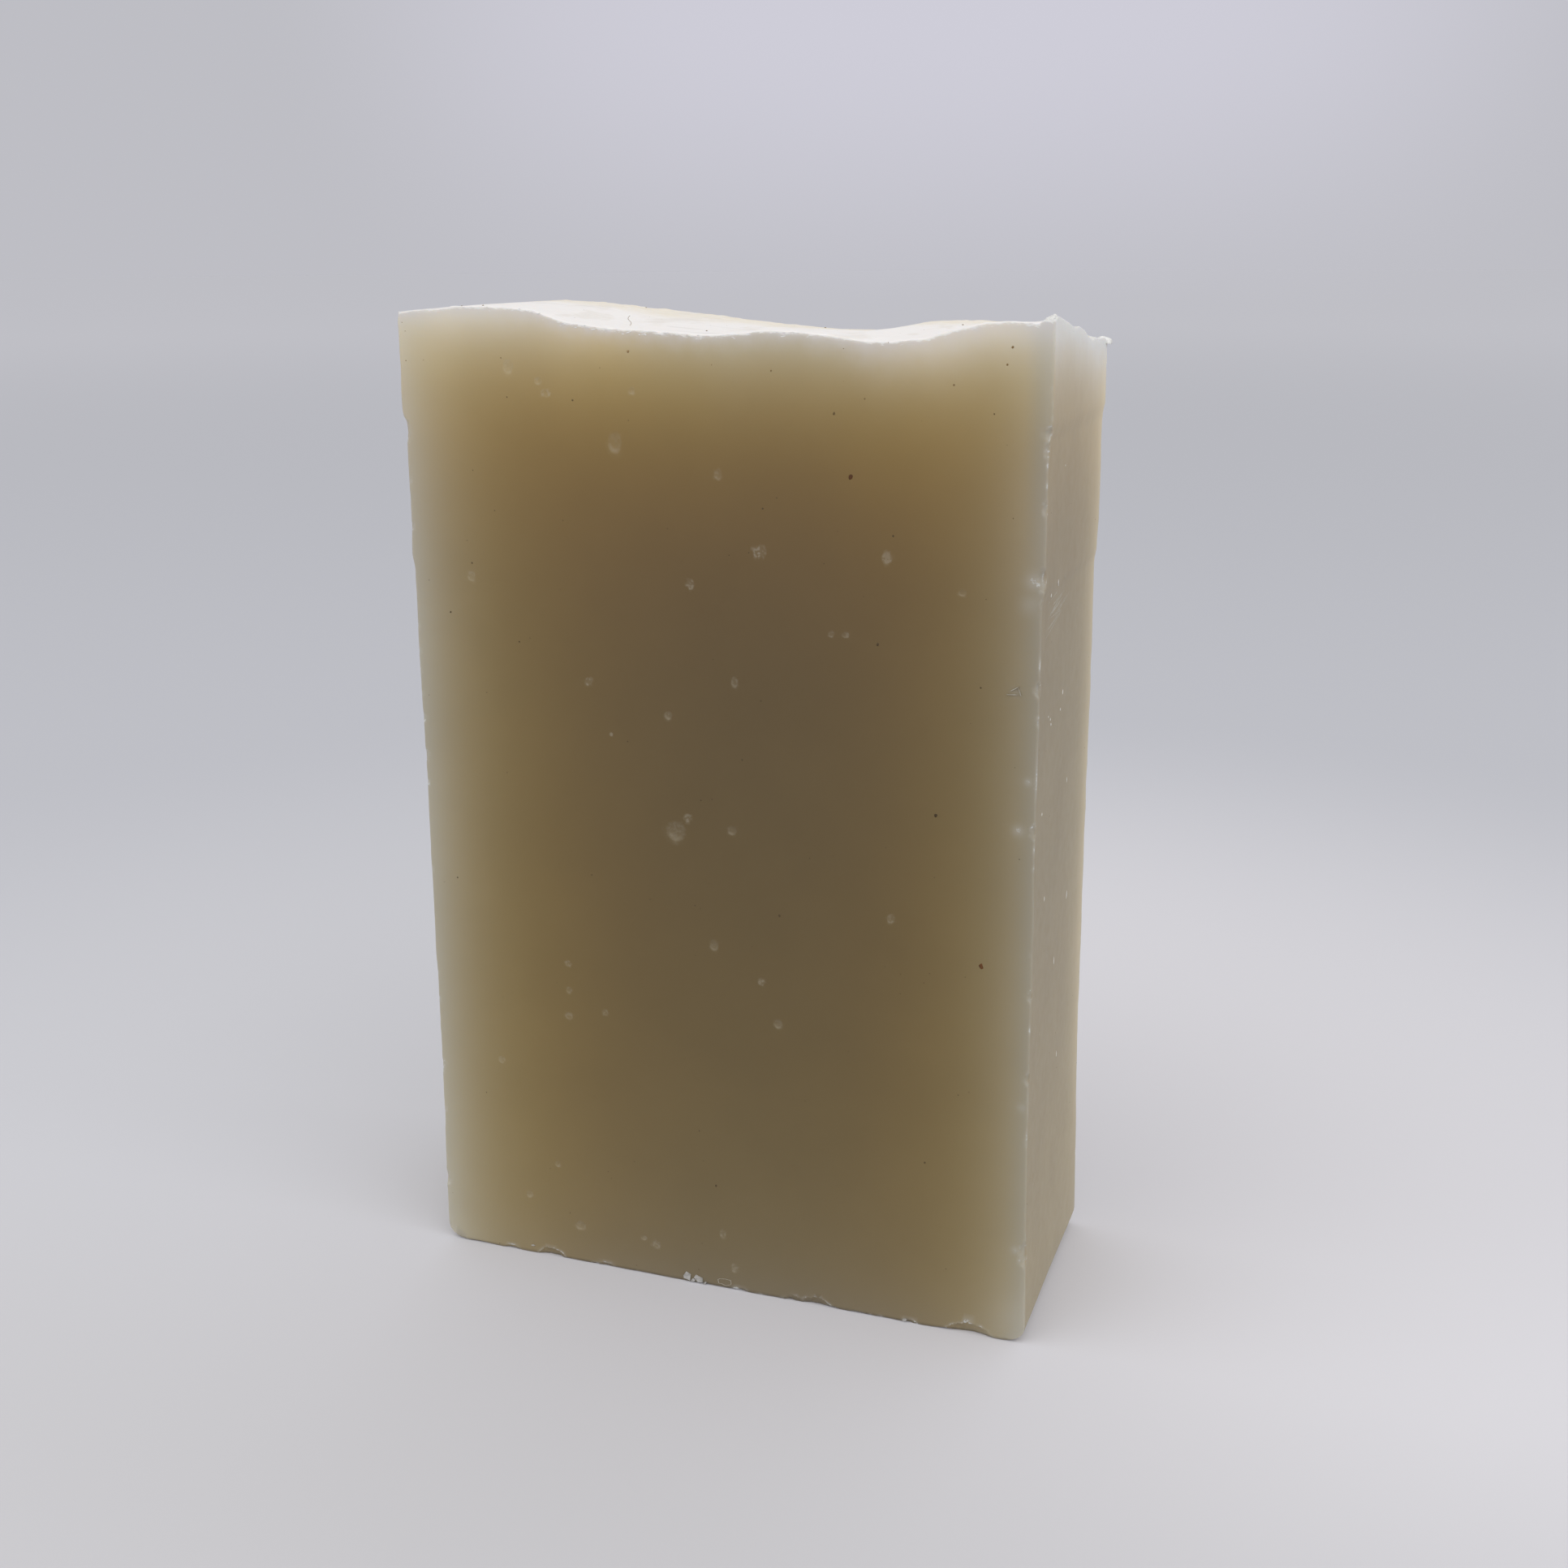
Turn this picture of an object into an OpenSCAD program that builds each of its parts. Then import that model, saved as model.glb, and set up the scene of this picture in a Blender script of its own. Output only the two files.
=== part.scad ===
// Bar of hand-made soap, standing on the narrow face that lay on the floor of its mould.
// Soap was poured into a tall loaf mould, left to set and sliced. So the front and the back are
// flat cuts, the two sides and the foot are mould walls, and the top is the poured surface. It
// set in low waves, and the cut tore its rim on the right and left a curl at the back corner.
// Sizes are in millimetres. X runs across the bar, Y through the slice with the front cut at -Y,
// and Z is up. The origin is the middle of the foot.

/* [Slice] */
// Width between the two mould walls
bar_w = 55; // [42:0.5:75]
// Thickness of the slice, from cut to cut
bar_t = 22; // [14:0.5:34]
// Height of the poured top at its highest crest
bar_h = 86.6; // [60:0.2:110]
// Radius where the mould's walls meet its floor
foot_r = 1.6; // [0.6:0.1:4]

/* [Swollen band] */
// How far each side stands out where the soap rose above the mould
swell_out = 0.4; // [0.1:0.05:1.2]
// Height of the swollen band, down from the highest crest
swell_h = 9; // [6:0.5:14]

/* [Poured top] */
// Depth of the waves in the top, as a factor on the heights of its rims
wave = 1; // [0.4:0.1:1.6]
// How far the torn right rim bends the top, in from the right wall
torn_reach = 3.5; // [2:0.5:8]
// Steps across the top, from wall to wall
steps_x = 56; // [30:2:70]
// Steps through the top, from cut to cut
steps_y = 22; // [10:2:24]

/* [Curl at the back corner] */
// Radius of the curl that the cut turned up
curl_r = 0.75; // [0.4:0.05:1.2]
// Length of the curl along the back rim
curl_len = 3.2; // [1.5:0.1:5]
// Thickness of the curled shaving
curl_wall = 0.35; // [0.2:0.05:0.6]
// How far the curl stands out behind the back cut
curl_out = 0.3; // [0.1:0.05:0.6]

/* [Chips and pits] */
// Depth of the chips along the foot, as a factor
chip_depth = 1; // [0.4:0.1:1.6]
// Depth of a burst bubble, as a share of its radius
pit_depth = 0.3; // [0.1:0.05:0.6]

/* [Hidden] */
$fn = 48;
soap_colour = [0.55, 0.5, 0.4];
past = 1;             // how far a tool solid reaches past the face that it cuts
half_w = bar_w / 2;
half_t = bar_t / 2;

// Rims of the poured top. The first number is the place, as a share of the width from the middle
// or of the thickness from the front cut. The second is the drop below the highest crest.
front_rim = [[-0.5, 0.5], [-0.38, 0.05], [-0.28, 0.35], [-0.22, 1.3], [-0.09, 1.9], [0, 2.1],
             [0.09, 1.7], [0.17, 1.9], [0.26, 2.4], [0.33, 2.05], [0.42, 0.9], [0.5, 0.9]];
back_rim = [[-0.5, 0.6], [-0.4, 0.4], [-0.26, 1], [-0.11, 1.8], [0, 2.35], [0.16, 2.75],
            [0.23, 1.85], [0.38, 2], [0.46, 2.8], [0.5, 3.6]];
right_rim = [[0, 0.9], [0.12, 0.7], [0.22, 0.6], [0.35, 1.05], [0.4, 1.5], [0.53, 1.8],
             [0.6, 2.3], [0.66, 2.5], [0.76, 3.1], [0.82, 3.4], [0.9, 3.1], [1, 3.6]];

// Chips out of the front edge of the foot: share of the width from the middle, length, depth
foot_chips = [[-0.31, 3.4, 0.7], [0.165, 3, 0.5], [0.42, 4.4, 0.65]];
// Nicks down the two front edges: side (-1 left, 1 right), share of the height, length, depth
edge_nicks = [[-1, 0.55, 1.6, 0.25], [1, 0.765, 1.8, 0.3], [1, 0.665, 1.4, 0.3],
              [1, 0.53, 1.6, 0.25]];
// Bites out of the torn right rim: share of the thickness from the front cut, length, depth
rim_bites = [[0.38, 1.7, 0.35], [0.62, 1.5, 0.3], [0.8, 1.2, 0.25]];
// The bite that took the front right corner of the top: length, depth
corner_bite = [2.4, 0.4];
// Burst bubbles in the front cut: share of the width from the middle, share of the height, radius
pits = [[-0.15, 0.875, 0.75], [-0.065, 0.497, 0.85], [0.075, 0.778, 0.5], [0.273, 0.778, 0.5],
        [-0.033, 0.744, 0.4], [0.015, 0.849, 0.35], [-0.205, 0.641, 0.35], [0.075, 0.349, 0.4],
        [-0.26, 0.283, 0.35], [-0.115, 0.037, 0.4]];

// The sides that the bites come from
below_front = [0, -1, -0.8];
beside_rim = [1, 0, 1];
above_corner = [1, -1, 0.6];

// Slope at knot i of a curve through knots [place, drop]
function slope(knots, i) =
    let (a = max(i - 1, 0), b = min(i + 1, len(knots) - 1))
    (knots[b][1] - knots[a][1]) / (knots[b][0] - knots[a][0]);

// Index of the knot at the start of the span that holds the place x
function span(knots, x, i = 0) =
    (i >= len(knots) - 2 || x < knots[i + 1][0]) ? i : span(knots, x, i + 1);

// Drop at the place x on a smooth curve through the knots
function drop(knots, x) =
    let (i = span(knots, x), w = knots[i + 1][0] - knots[i][0], s = (x - knots[i][0]) / w)
    knots[i][1] * (1 + 2 * s) * pow(1 - s, 2) + knots[i + 1][1] * s * s * (3 - 2 * s)
        + w * s * (1 - s) * (slope(knots, i) * (1 - s) - slope(knots, i + 1) * s);

// Height of the poured top. It runs straight from the front rim to the back rim, and close to
// the right wall it turns to follow the torn rim there.
function top_z(x, y) =
    let (u = min(max(x / bar_w, -0.5), 0.5), v = min(max(y / bar_t + 0.5, 0), 1),
         across = drop(front_rim, u) * (1 - v) + drop(back_rim, u) * v,
         corner = drop(front_rim, 0.5) * (1 - v) + drop(back_rim, 0.5) * v,
         near = pow(max(0, 1 - (0.5 - u) * bar_w / torn_reach), 2))
    bar_h - wave * (across + near * (drop(right_rim, v) - corner));

// Half width of the loaf at height z, with the swollen band above the mould
function wall_x(z) =
    let (s = min(max((z - bar_h + swell_h) / (swell_h / 2), 0), 1))
    half_w + swell_out * s * s * (3 - 2 * s);

// Outline of the loaf in the mould, drawn with the foot on the X axis and open above the top
module loaf_outline() {
    band = [for (i = [0:6]) bar_h - swell_h + i * swell_h / 12];
    heights = concat([foot_r], band, [bar_h + past]);
    right = [for (z = heights) [wall_x(z), z]];
    left = [for (i = [len(heights) - 1:-1:0]) [-wall_x(heights[i]), heights[i]]];
    polygon(concat(right, left));
    for (side = [-1, 1]) translate([side * (half_w - foot_r), foot_r]) circle(foot_r);
    translate([foot_r - half_w, 0]) square([bar_w - 2 * foot_r, foot_r + past]);
}

// The slice between the two cuts, still square at the top
module slice() {
    rotate([90, 0, 0]) linear_extrude(bar_t, center = true) loaf_outline();
}

// Everything below the poured surface: a block that stands wider than the slice on every side,
// whose upper face is a grid of heights
module poured() {
    reach_x = half_w + swell_out + past;
    reach_y = half_t + past;
    nx = steps_x + 1;
    ny = steps_y + 1;
    xs = [for (i = [0:steps_x]) -reach_x + 2 * reach_x * i / steps_x];
    ys = [for (j = [0:steps_y]) -reach_y + 2 * reach_y * j / steps_y];
    upper = [for (y = ys) for (x = xs) [x, y, top_z(x, y)]];
    lower = [for (y = [-reach_y, reach_y]) for (x = [-reach_x, reach_x]) [x, y, -past]];
    base = nx * ny;
    grid = [for (j = [0:steps_y - 1]) for (i = [0:steps_x - 1])
            let (a = j * nx + i, b = a + 1, c = a + nx, d = c + 1)
            for (tri = [[a, c, b], [b, c, d]]) tri];
    front = [concat([base], [for (i = [0:steps_x]) i], [base + 1])];
    back = [concat([base + 3], [for (i = [steps_x:-1:0]) steps_y * nx + i], [base + 2])];
    left = [concat([base + 2], [for (j = [steps_y:-1:0]) j * nx], [base])];
    right = [concat([base + 1], [for (j = [0:steps_y]) j * nx + steps_x], [base + 3])];
    floor = [[base, base + 1, base + 3, base + 2]];
    polyhedron(concat(upper, lower), concat(grid, front, back, left, right, floor));
}

// Ball that bites a scallop of this length and depth out of whatever lies at the origin, from
// the side that the direction points to
module bite(length, depth, direction) {
    r = (length * length / 4 + depth * depth) / (2 * depth);
    translate(direction / norm(direction) * (r - depth)) sphere(r);
}

module foot_chip(place, length, depth) {
    translate([place * bar_w, -half_t, 0])
        bite(length, depth * chip_depth, below_front);
}

module edge_nick(side, height, length, depth) {
    translate([side * wall_x(height * bar_h), -half_t, height * bar_h])
        bite(length, depth, [side, -1, 0]);
}

module rim_bite(place, length, depth) {
    y = (place - 0.5) * bar_t;
    translate([wall_x(bar_h), y, top_z(half_w, y)]) bite(length, depth, beside_rim);
}

module corner_loss() {
    translate([wall_x(bar_h), -half_t, top_z(half_w, -half_t)])
        bite(corner_bite[0], corner_bite[1], above_corner);
}

module pit(place, height, r) {
    translate([place * bar_w, -half_t, height * bar_h])
        bite(2 * r, r * pit_depth, [0, -1, 0]);
}

// Shaving that the cut turned up at the back right corner, rooted in the rim
module curl() {
    root_z = top_z(half_w, half_t);
    translate([half_w - curl_len / 2, half_t + curl_out - curl_r, root_z])
        rotate([90, 0, 90])
            linear_extrude(curl_len, center = true)
                difference() {
                    circle(curl_r);
                    circle(curl_r - curl_wall);
                    translate([-2 * curl_r, -2 * curl_r]) square([2 * curl_r, 4 * curl_r]);
                }
}

module soap_bar() {
    color(soap_colour) {
        difference() {
            intersection() {
                slice();
                poured();
            }
            for (c = foot_chips) foot_chip(c[0], c[1], c[2]);
            for (n = edge_nicks) edge_nick(n[0], n[1], n[2], n[3]);
            for (b = rim_bites) rim_bite(b[0], b[1], b[2]);
            for (p = pits) pit(p[0], p[1], p[2]);
            corner_loss();
        }
        curl();
    }
}

soap_bar();
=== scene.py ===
# %% [markdown]
# # A bar of hand-made soap
# A slice of cast soap stands on its narrow foot. The two large faces were cut with a knife, the
# sides and the foot touched the mould, and the top is the surface that was poured. It is one
# solid, so the work here is not in parts but in surface: dull cut edges, chips, burst bubbles,
# specks, a torn rim, and a body that lets light in from every edge.
#
# The fixed frame is loaded first. It holds the bar's true size, and everything below is worked
# out from it.

# %% The frame
import math

import bpy
import numpy as np
from mathutils import Matrix, Vector
from mathutils.bvhtree import BVHTree
from mathutils.geometry import delaunay_2d_cdt


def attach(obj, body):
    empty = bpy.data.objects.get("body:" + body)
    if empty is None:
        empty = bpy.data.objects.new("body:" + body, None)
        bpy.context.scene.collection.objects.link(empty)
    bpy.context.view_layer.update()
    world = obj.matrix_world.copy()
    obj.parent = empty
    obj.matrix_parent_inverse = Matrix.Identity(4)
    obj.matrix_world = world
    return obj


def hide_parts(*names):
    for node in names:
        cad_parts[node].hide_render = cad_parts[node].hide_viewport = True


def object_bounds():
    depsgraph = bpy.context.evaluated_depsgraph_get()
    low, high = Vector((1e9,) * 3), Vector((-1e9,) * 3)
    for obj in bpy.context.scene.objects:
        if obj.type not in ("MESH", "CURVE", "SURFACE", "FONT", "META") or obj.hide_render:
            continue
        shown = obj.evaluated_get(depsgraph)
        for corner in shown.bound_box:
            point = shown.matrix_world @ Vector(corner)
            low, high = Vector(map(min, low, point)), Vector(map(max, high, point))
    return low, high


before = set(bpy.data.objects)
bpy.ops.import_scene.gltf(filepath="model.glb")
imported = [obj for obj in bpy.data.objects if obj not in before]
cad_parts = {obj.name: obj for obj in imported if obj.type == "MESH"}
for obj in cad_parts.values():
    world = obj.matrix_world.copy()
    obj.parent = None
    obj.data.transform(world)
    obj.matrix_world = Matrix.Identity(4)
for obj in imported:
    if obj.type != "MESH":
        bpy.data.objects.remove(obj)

cad_box = [list(corner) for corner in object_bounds()]
cad_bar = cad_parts["soap_bar"]
print("the solid's box in metres:", cad_box)

# %% [markdown]
# ## Sizes
# Lengths are thought of in millimetres, because that is how such a bar is measured, and turned
# into metres when a mesh is made. Width, thickness and height come from the solid's box. In the
# swollen band near the top the soap rose above the mould's walls and stands out a little.

# %% Sizes of the bar
MM = 0.001
SWELL = 0.4
BAND = 9.0
FOOT_R = 1.6
low, high = np.array(cad_box) / MM
HALF_W = (high[0] - low[0]) / 2 - SWELL
HALF_T = -low[1]
BAR_H = high[2]
print(f"bar {2 * HALF_W:.1f} x {2 * HALF_T:.1f} x {BAR_H:.1f} mm")

# %% [markdown]
# ## The camera
# The picture is taken from in front, a little to the right and above the bar's top. The place was
# worked out from the straight edges of the bar. The optical axis passes a little above the middle
# of the picture, which is a small downward shift of the frame.

# %% Camera
CAMERA_AT = Vector((57.24, -153.8, 92.79)) * MM
CAMERA_YAW = math.radians(19.63)
CAMERA_PITCH = math.radians(-14.83)
CAMERA_ROLL = math.radians(-0.34)
PICTURE = 1932
FOCAL_PIXELS = 2348
AXIS_ROW = 900
SENSOR = 36.0

camera_data = bpy.data.cameras.new("camera")
camera_data.sensor_width = SENSOR
camera_data.lens = SENSOR * FOCAL_PIXELS / PICTURE
camera_data.shift_y = (AXIS_ROW - PICTURE / 2) / PICTURE
camera_data.clip_start = 0.005
camera = bpy.data.objects.new("camera", camera_data)
bpy.context.scene.collection.objects.link(camera)
camera.matrix_world = (
    Matrix.Translation(CAMERA_AT)
    @ Matrix.Rotation(CAMERA_YAW, 4, "Z")
    @ Matrix.Rotation(math.pi / 2 + CAMERA_PITCH, 4, "X")
    @ Matrix.Rotation(CAMERA_ROLL, 4, "Z")
)
bpy.context.scene.camera = camera
print(f"camera: {camera_data.lens:.1f} mm lens, {(CAMERA_AT.length / MM):.0f} mm from the foot")

# %% [markdown]
# ## Noise that can be asked anywhere
# Nothing on a hand-cut bar is quite straight. Small random changes are needed at any point of the
# surface, and two points that share a place must get the same change, or the mesh would open. So
# the noise is a function of place: random values on a lattice, blended smoothly between.


# %% Lattice noise
def smooth(t):
    """Eases from 0 to 1 as t runs from 0 to 1, and stays flat outside."""
    t = np.clip(t, 0, 1)
    return t * t * (3 - 2 * t)


TABLE = 4096  # how many random values the lattice draws on
FAR_OFF = 1000.0  # cells from the lattice's own corner to the bar's origin


def noise(points, cell, seed):
    """Smooth noise from -1 to 1 at points in mm, with bumps about one cell across."""
    table = np.random.default_rng(seed).uniform(-1, 1, TABLE)
    place = np.asarray(points, float) / cell + FAR_OFF
    corner = np.floor(place).astype(np.int64)
    ease = smooth(place - corner)
    total = np.zeros(len(place))
    for step in np.ndindex(2, 2, 2):
        x, y, z = (corner + step).T
        key = (x * 73856093 ^ y * 19349663 ^ z * 83492791) & (TABLE - 1)
        total += table[key] * np.prod(np.where(step, ease, 1 - ease), axis=1)
    return total


print("noise at three points:", noise([[0, 0, 0], [1, 2, 3], [9, 9, 9]], 4.0, 1).round(2))

# %% [markdown]
# ## The poured top, read from the solid
# The solid already holds the low waves of the poured surface. Rays cast straight down on it give
# its height on a fine grid, and the fine mesh that is built below follows those heights. The grid
# stops a little before both cuts, because the curl of soap stands at the back one and the lost
# corner is bitten out of the front one.

# %% Heights of the poured top
TOP_CELL = 0.5
WALL_MARGIN = 0.05
CUT_MARGIN = 0.6
HIGH_UP = BAR_H + 10
tree = BVHTree.FromObject(cad_bar, bpy.context.evaluated_depsgraph_get())
grid_x = np.arange(-HALF_W + WALL_MARGIN, HALF_W, TOP_CELL)
grid_y = np.arange(-HALF_T + CUT_MARGIN, HALF_T - CUT_MARGIN, TOP_CELL)
down = Vector((0, 0, -1))
top_grid = np.array([
    [tree.ray_cast(Vector((x, y, HIGH_UP)) * MM, down)[0].z / MM for y in grid_y]
    for x in grid_x
])


def top_z(x, y):
    """Height in mm of the poured surface, carried on in a straight line beyond the grid."""
    x, y = np.broadcast_arrays(np.asarray(x, float), np.asarray(y, float))
    u = np.clip((x - grid_x[0]) / TOP_CELL, 0, len(grid_x) - 1.001)
    v = (y - grid_y[0]) / TOP_CELL
    i = u.astype(int)
    j = np.clip(np.floor(v).astype(int), 0, len(grid_y) - 2)
    u, v = u - i, v - j
    near = top_grid[i, j] * (1 - u) + top_grid[i + 1, j] * u
    far = top_grid[i, j + 1] * (1 - u) + top_grid[i + 1, j + 1] * u
    return near * (1 - v) + far * v


def wall_x(z):
    """Half width in mm at height z, with the swollen band."""
    return HALF_W + SWELL * smooth((z - BAR_H + BAND) / (BAND / 2))


print(f"poured top from {top_grid.min():.2f} to {top_grid.max():.2f} mm")

# %% [markdown]
# ## Marks on the bar
# These are the marks that a person would notice and that belong at their own place: burst
# bubbles, chips along the front edge of the foot, nicks down the edges. Each was picked on the
# picture and turned into millimetres by way of the camera above, across from the middle and up
# from the foot. The many smaller ones are scattered later by a seed.

# %% Places of the marks
BUBBLES = [  # across, up, radius, height over width, how crumbly
    (-8.2, 75.8, 0.6, 1.45, 0.15), (-3.5, 43, 0.85, 1, 0.3), (4.2, 67.4, 0.46, 1.1, 0.95),
    (15, 67.4, 0.45, 1, 0.7), (-1.8, 64.4, 0.34, 1.3, 0.75), (0.8, 73.5, 0.34, 1.4, 0.35),
    (-11.3, 55.5, 0.34, 1, 0.8), (4.1, 30.2, 0.32, 1.1, 0.7), (-14.3, 24.5, 0.38, 1, 0.5),
    (-6.3, 3.2, 0.45, 0.8, 0.6), (-14.2, 29.5, 0.3, 1, 0.55), (-14.2, 27, 0.3, 1, 0.35),
    (-10.7, 25.3, 0.3, 1, 0.5), (-14.3, 79.6, 0.5, 0.7, 0.7), (-15, 80.6, 0.34, 1, 0.35),
    (-17.7, 81.7, 0.5, 1.2, 0.3), (-6.6, 80, 0.3, 1, 0.4), (-4, 53.1, 0.36, 1, 0.35),
    (2, 56.4, 0.3, 1.6, 0.4), (-9.3, 51, 0.16, 1, 0.8), (-2.4, 44.2, 0.3, 1.3, 0.7),
    (1.6, 43.5, 0.4, 1, 0.2), (15.6, 37.3, 0.34, 1.2, 0.5), (-0.2, 33, 0.42, 1.2, 0.18),
    (10.4, 61, 0.26, 1, 0.4), (11.6, 61, 0.34, 0.7, 0.5), (-22, 64, 0.36, 1.3, 0.4),
    (0.2, 5.4, 0.32, 1.3, 0.6), (1.3, 2.2, 0.3, 1.6, 0.5), (-13.9, 3.7, 0.55, 0.8, 0.3),
    (-21.3, 19.2, 0.34, 1, 0.35), (-19, 6, 0.34, 1, 0.4), (5.6, 26.5, 0.4, 1, 0.2),
    (-16, 9.6, 0.3, 1, 0.3), (-7.5, 3.6, 0.3, 0.8, 0.4), (21.2, 65, 0.34, 0.8, 0.3),
]
FOOT_CHIPS = [  # across, length, depth
    (-17, 2.9, 0.6), (9, 3, 0.5), (23, 4.4, 0.65), (6.9, 2.2, 0.3), (-21.2, 1.6, 0.25),
    (-11.5, 1.8, 0.2), (1.8, 1.4, 0.2), (17.6, 1.5, 0.22),
]
EDGE_NICKS = [  # side, up, length, depth
    (-1, 47.6, 1.6, 0.25), (1, 66.3, 1.8, 0.3), (1, 57.6, 1.4, 0.3), (1, 46, 1.6, 0.25),
    (-1, 76.2, 1.8, 0.2), (-1, 18, 1.2, 0.15), (1, 24.5, 1.2, 0.16), (1, 8.5, 2.2, 0.22),
]
SCUFFS = [  # across, up, spread, how pale
    (26.8, 66.2, 0.7, 0.55), (26.1, 46, 0.5, 0.6), (26.8, 50.1, 0.35, 0.55), (26.8, 8.8, 0.4, 0.45),
    (26.5, 64.4, 0.8, 0.34), (27, 22, 0.4, 0.4), (25.6, 57.35, 0.4, 0.3),
]
DASHES = [  # pale dashes down the front right edge: up, half length
    (79.8, 0.25), (78.7, 0.2), (77.2, 0.4), (75.1, 0.25), (73.6, 0.25), (66.3, 0.7), (59.6, 0.6),
    (57.7, 0.25), (55, 0.3), (51, 2.0), (44.5, 0.35), (29, 0.3), (22.2, 1.1), (19.3, 0.6),
    (8.9, 0.5),
]
TORN_RIM = [  # through, and how far the torn right rim stands above the poured surface
    (-11, 0.35), (-8.6, 0.25), (-5.75, -0.3), (-4.1, -0.5), (-2.6, -0.1), (-1.45, 0), (1.75, -0.3),
    (3.6, -0.45), (5.75, 0), (11, 0),
]
print(len(BUBBLES), "bubbles,", len(FOOT_CHIPS), "chips,", len(EDGE_NICKS), "nicks")

# %% [markdown]
# ## The outline
# The form is a slab: one outline, drawn in the plane of the cut, carried through the thickness.
# So the mesh is one band of quads that follows the outline, closed by two caps. Detail is needed
# only where the eye finds it, at the edges and round the marks, so the band's rows crowd towards
# the two cuts.

# %% One slice of the outline
ALONG = 0.2
ARC_STEPS = 8


def run(start, end, step):
    """Even numbers from start up to, but without, end."""
    return np.linspace(start, end, max(2, round(abs(end - start) / step)), endpoint=False)


def outline(y):
    """The slice's outline at depth y, once round from the left end of the foot: x and z."""
    flat = run(-HALF_W + FOOT_R, HALF_W - FOOT_R, ALONG)
    turn = run(-math.pi / 2, 0, math.pi / 2 / ARC_STEPS)
    rise = run(0, 1, ALONG / (BAR_H - FOOT_R))
    right_top, left_top = float(top_z(HALF_W, y)), float(top_z(-HALF_W, y))
    right_z = FOOT_R + rise * (right_top - FOOT_R)
    left_z = FOOT_R + (1 - rise) * (left_top - FOOT_R)
    across = run(1, -1, ALONG / HALF_W)
    top_x = across * np.where(across > 0, wall_x(right_top), wall_x(left_top))
    pieces = [
        (flat, 0 * flat),
        (HALF_W - FOOT_R + FOOT_R * np.cos(turn), FOOT_R + FOOT_R * np.sin(turn)),
        (wall_x(right_z), right_z),
        (top_x, top_z(top_x, y)),
        (-wall_x(left_z), left_z),
        (-HALF_W + FOOT_R + FOOT_R * np.sin(turn), FOOT_R - FOOT_R * np.cos(turn)),
    ]
    return np.concatenate([np.stack(piece, 1) for piece in pieces]), [len(a) for a, _ in pieces]


# How far in from each cut the crowded rows lie
EDGE_ROWS = [0, 0.09, 0.2, 0.34, 0.52, 0.78, 1.15, 1.7, 2.5, 3.6]
ROW_GAP = 0.7
depths = np.array(
    [-HALF_T + d for d in EDGE_ROWS]
    + list(run(-HALF_T + EDGE_ROWS[-1] + ROW_GAP, HALF_T - EDGE_ROWS[-1], ROW_GAP))
    + [HALF_T - d for d in reversed(EDGE_ROWS)]
)
band = np.array([outline(y)[0] for y in depths])
ROWS, COLS = band.shape[:2]
lengths = np.cumsum(outline(0)[1])
TOP_COLS = range(lengths[2], lengths[3])
print(f"band of {ROWS} rows by {COLS} columns, {len(TOP_COLS)} of them on the top")

# %% [markdown]
# ## The caps
# Each cap is filled by a Delaunay triangulation, which makes well-shaped triangles between any
# points. The points lie on loops that follow the cap's edge and thin out inwards, on rings round
# each bubble and scuff, on a fine grid over each listed chip of the foot, and on a loose grid
# elsewhere. The triangulation also bridges the dips of the top from outside. Such a triangle has
# all its corners on the outline and, with them in the outline's order, turns the wrong way round,
# so it is left out.


# %% Points and triangles of a cap
def inside(points, y, margin):
    """Which points lie within the outline by at least the margin."""
    x, z = points.T
    walls = np.minimum(wall_x(z) - np.abs(x), np.minimum(z, top_z(x, y) - z))
    off = np.stack([np.abs(x) - HALF_W + FOOT_R, FOOT_R - z], 1)
    corner = np.where((off > 0).all(1), FOOT_R - np.hypot(*off.T), walls)
    return np.minimum(walls, corner) >= margin


def inset_loop(inset, step, y):
    """Points on a loop that lies the given distance inside the cap's edge."""
    z = np.arange(inset, BAR_H, step)
    x = np.arange(-HALF_W, HALF_W, step)
    sides = [np.stack([side * (wall_x(z) - inset), z], 1) for side in (-1, 1)]
    ends = [np.stack([x, 0 * x + inset], 1), np.stack([x, top_z(x, y) - inset], 1)]
    loop = np.concatenate(sides + ends)
    return loop[inside(loop, y, inset - 0.001)]


PATCH_WIDE = 0.6  # half width of a chip's fine grid, as a share of the chip's length
PATCH_CLEAR = 0.62  # half width that is cleared for it
PATCH_HIGH = 1.7  # its height, as a share of the chip's depth


def patch(across, length, depth):
    """A fine grid over the place of a chip on the foot's edge."""
    steps_x = np.arange(-length, length, 0.15) * PATCH_WIDE
    x, z = np.meshgrid(steps_x, np.arange(0.1, depth * PATCH_HIGH, 0.12))
    return np.stack([across + x.ravel() + 0.04 * np.sin(40 * z.ravel()), z.ravel()], 1)


# Loops inside a cap's edge: how far in, and the step between points
LOOPS = [(0.1, 0.2), (0.22, 0.2), (0.4, 0.3), (0.7, 0.45), (1.2, 0.7), (2.0, 1.0), (3.1, 1.4)]
# Rings round a bubble: share of its radius, and how many points
RINGS = [(0, 1), (0.3, 6), (0.55, 10), (0.8, 16), (1.0, 20), (1.2, 20), (1.7, 14)]
RING_CLEAR = 2  # radii round a bubble that are kept for its rings
CLOSEST = 0.06  # no inner point lies closer to the cap's edge than this
GRID = 1.7
SAME_POINT = 1e-5  # points closer than this are one point
FLAT = 1e-6  # a triangle of outline points with under half this area, in square mm, is left out


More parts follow.
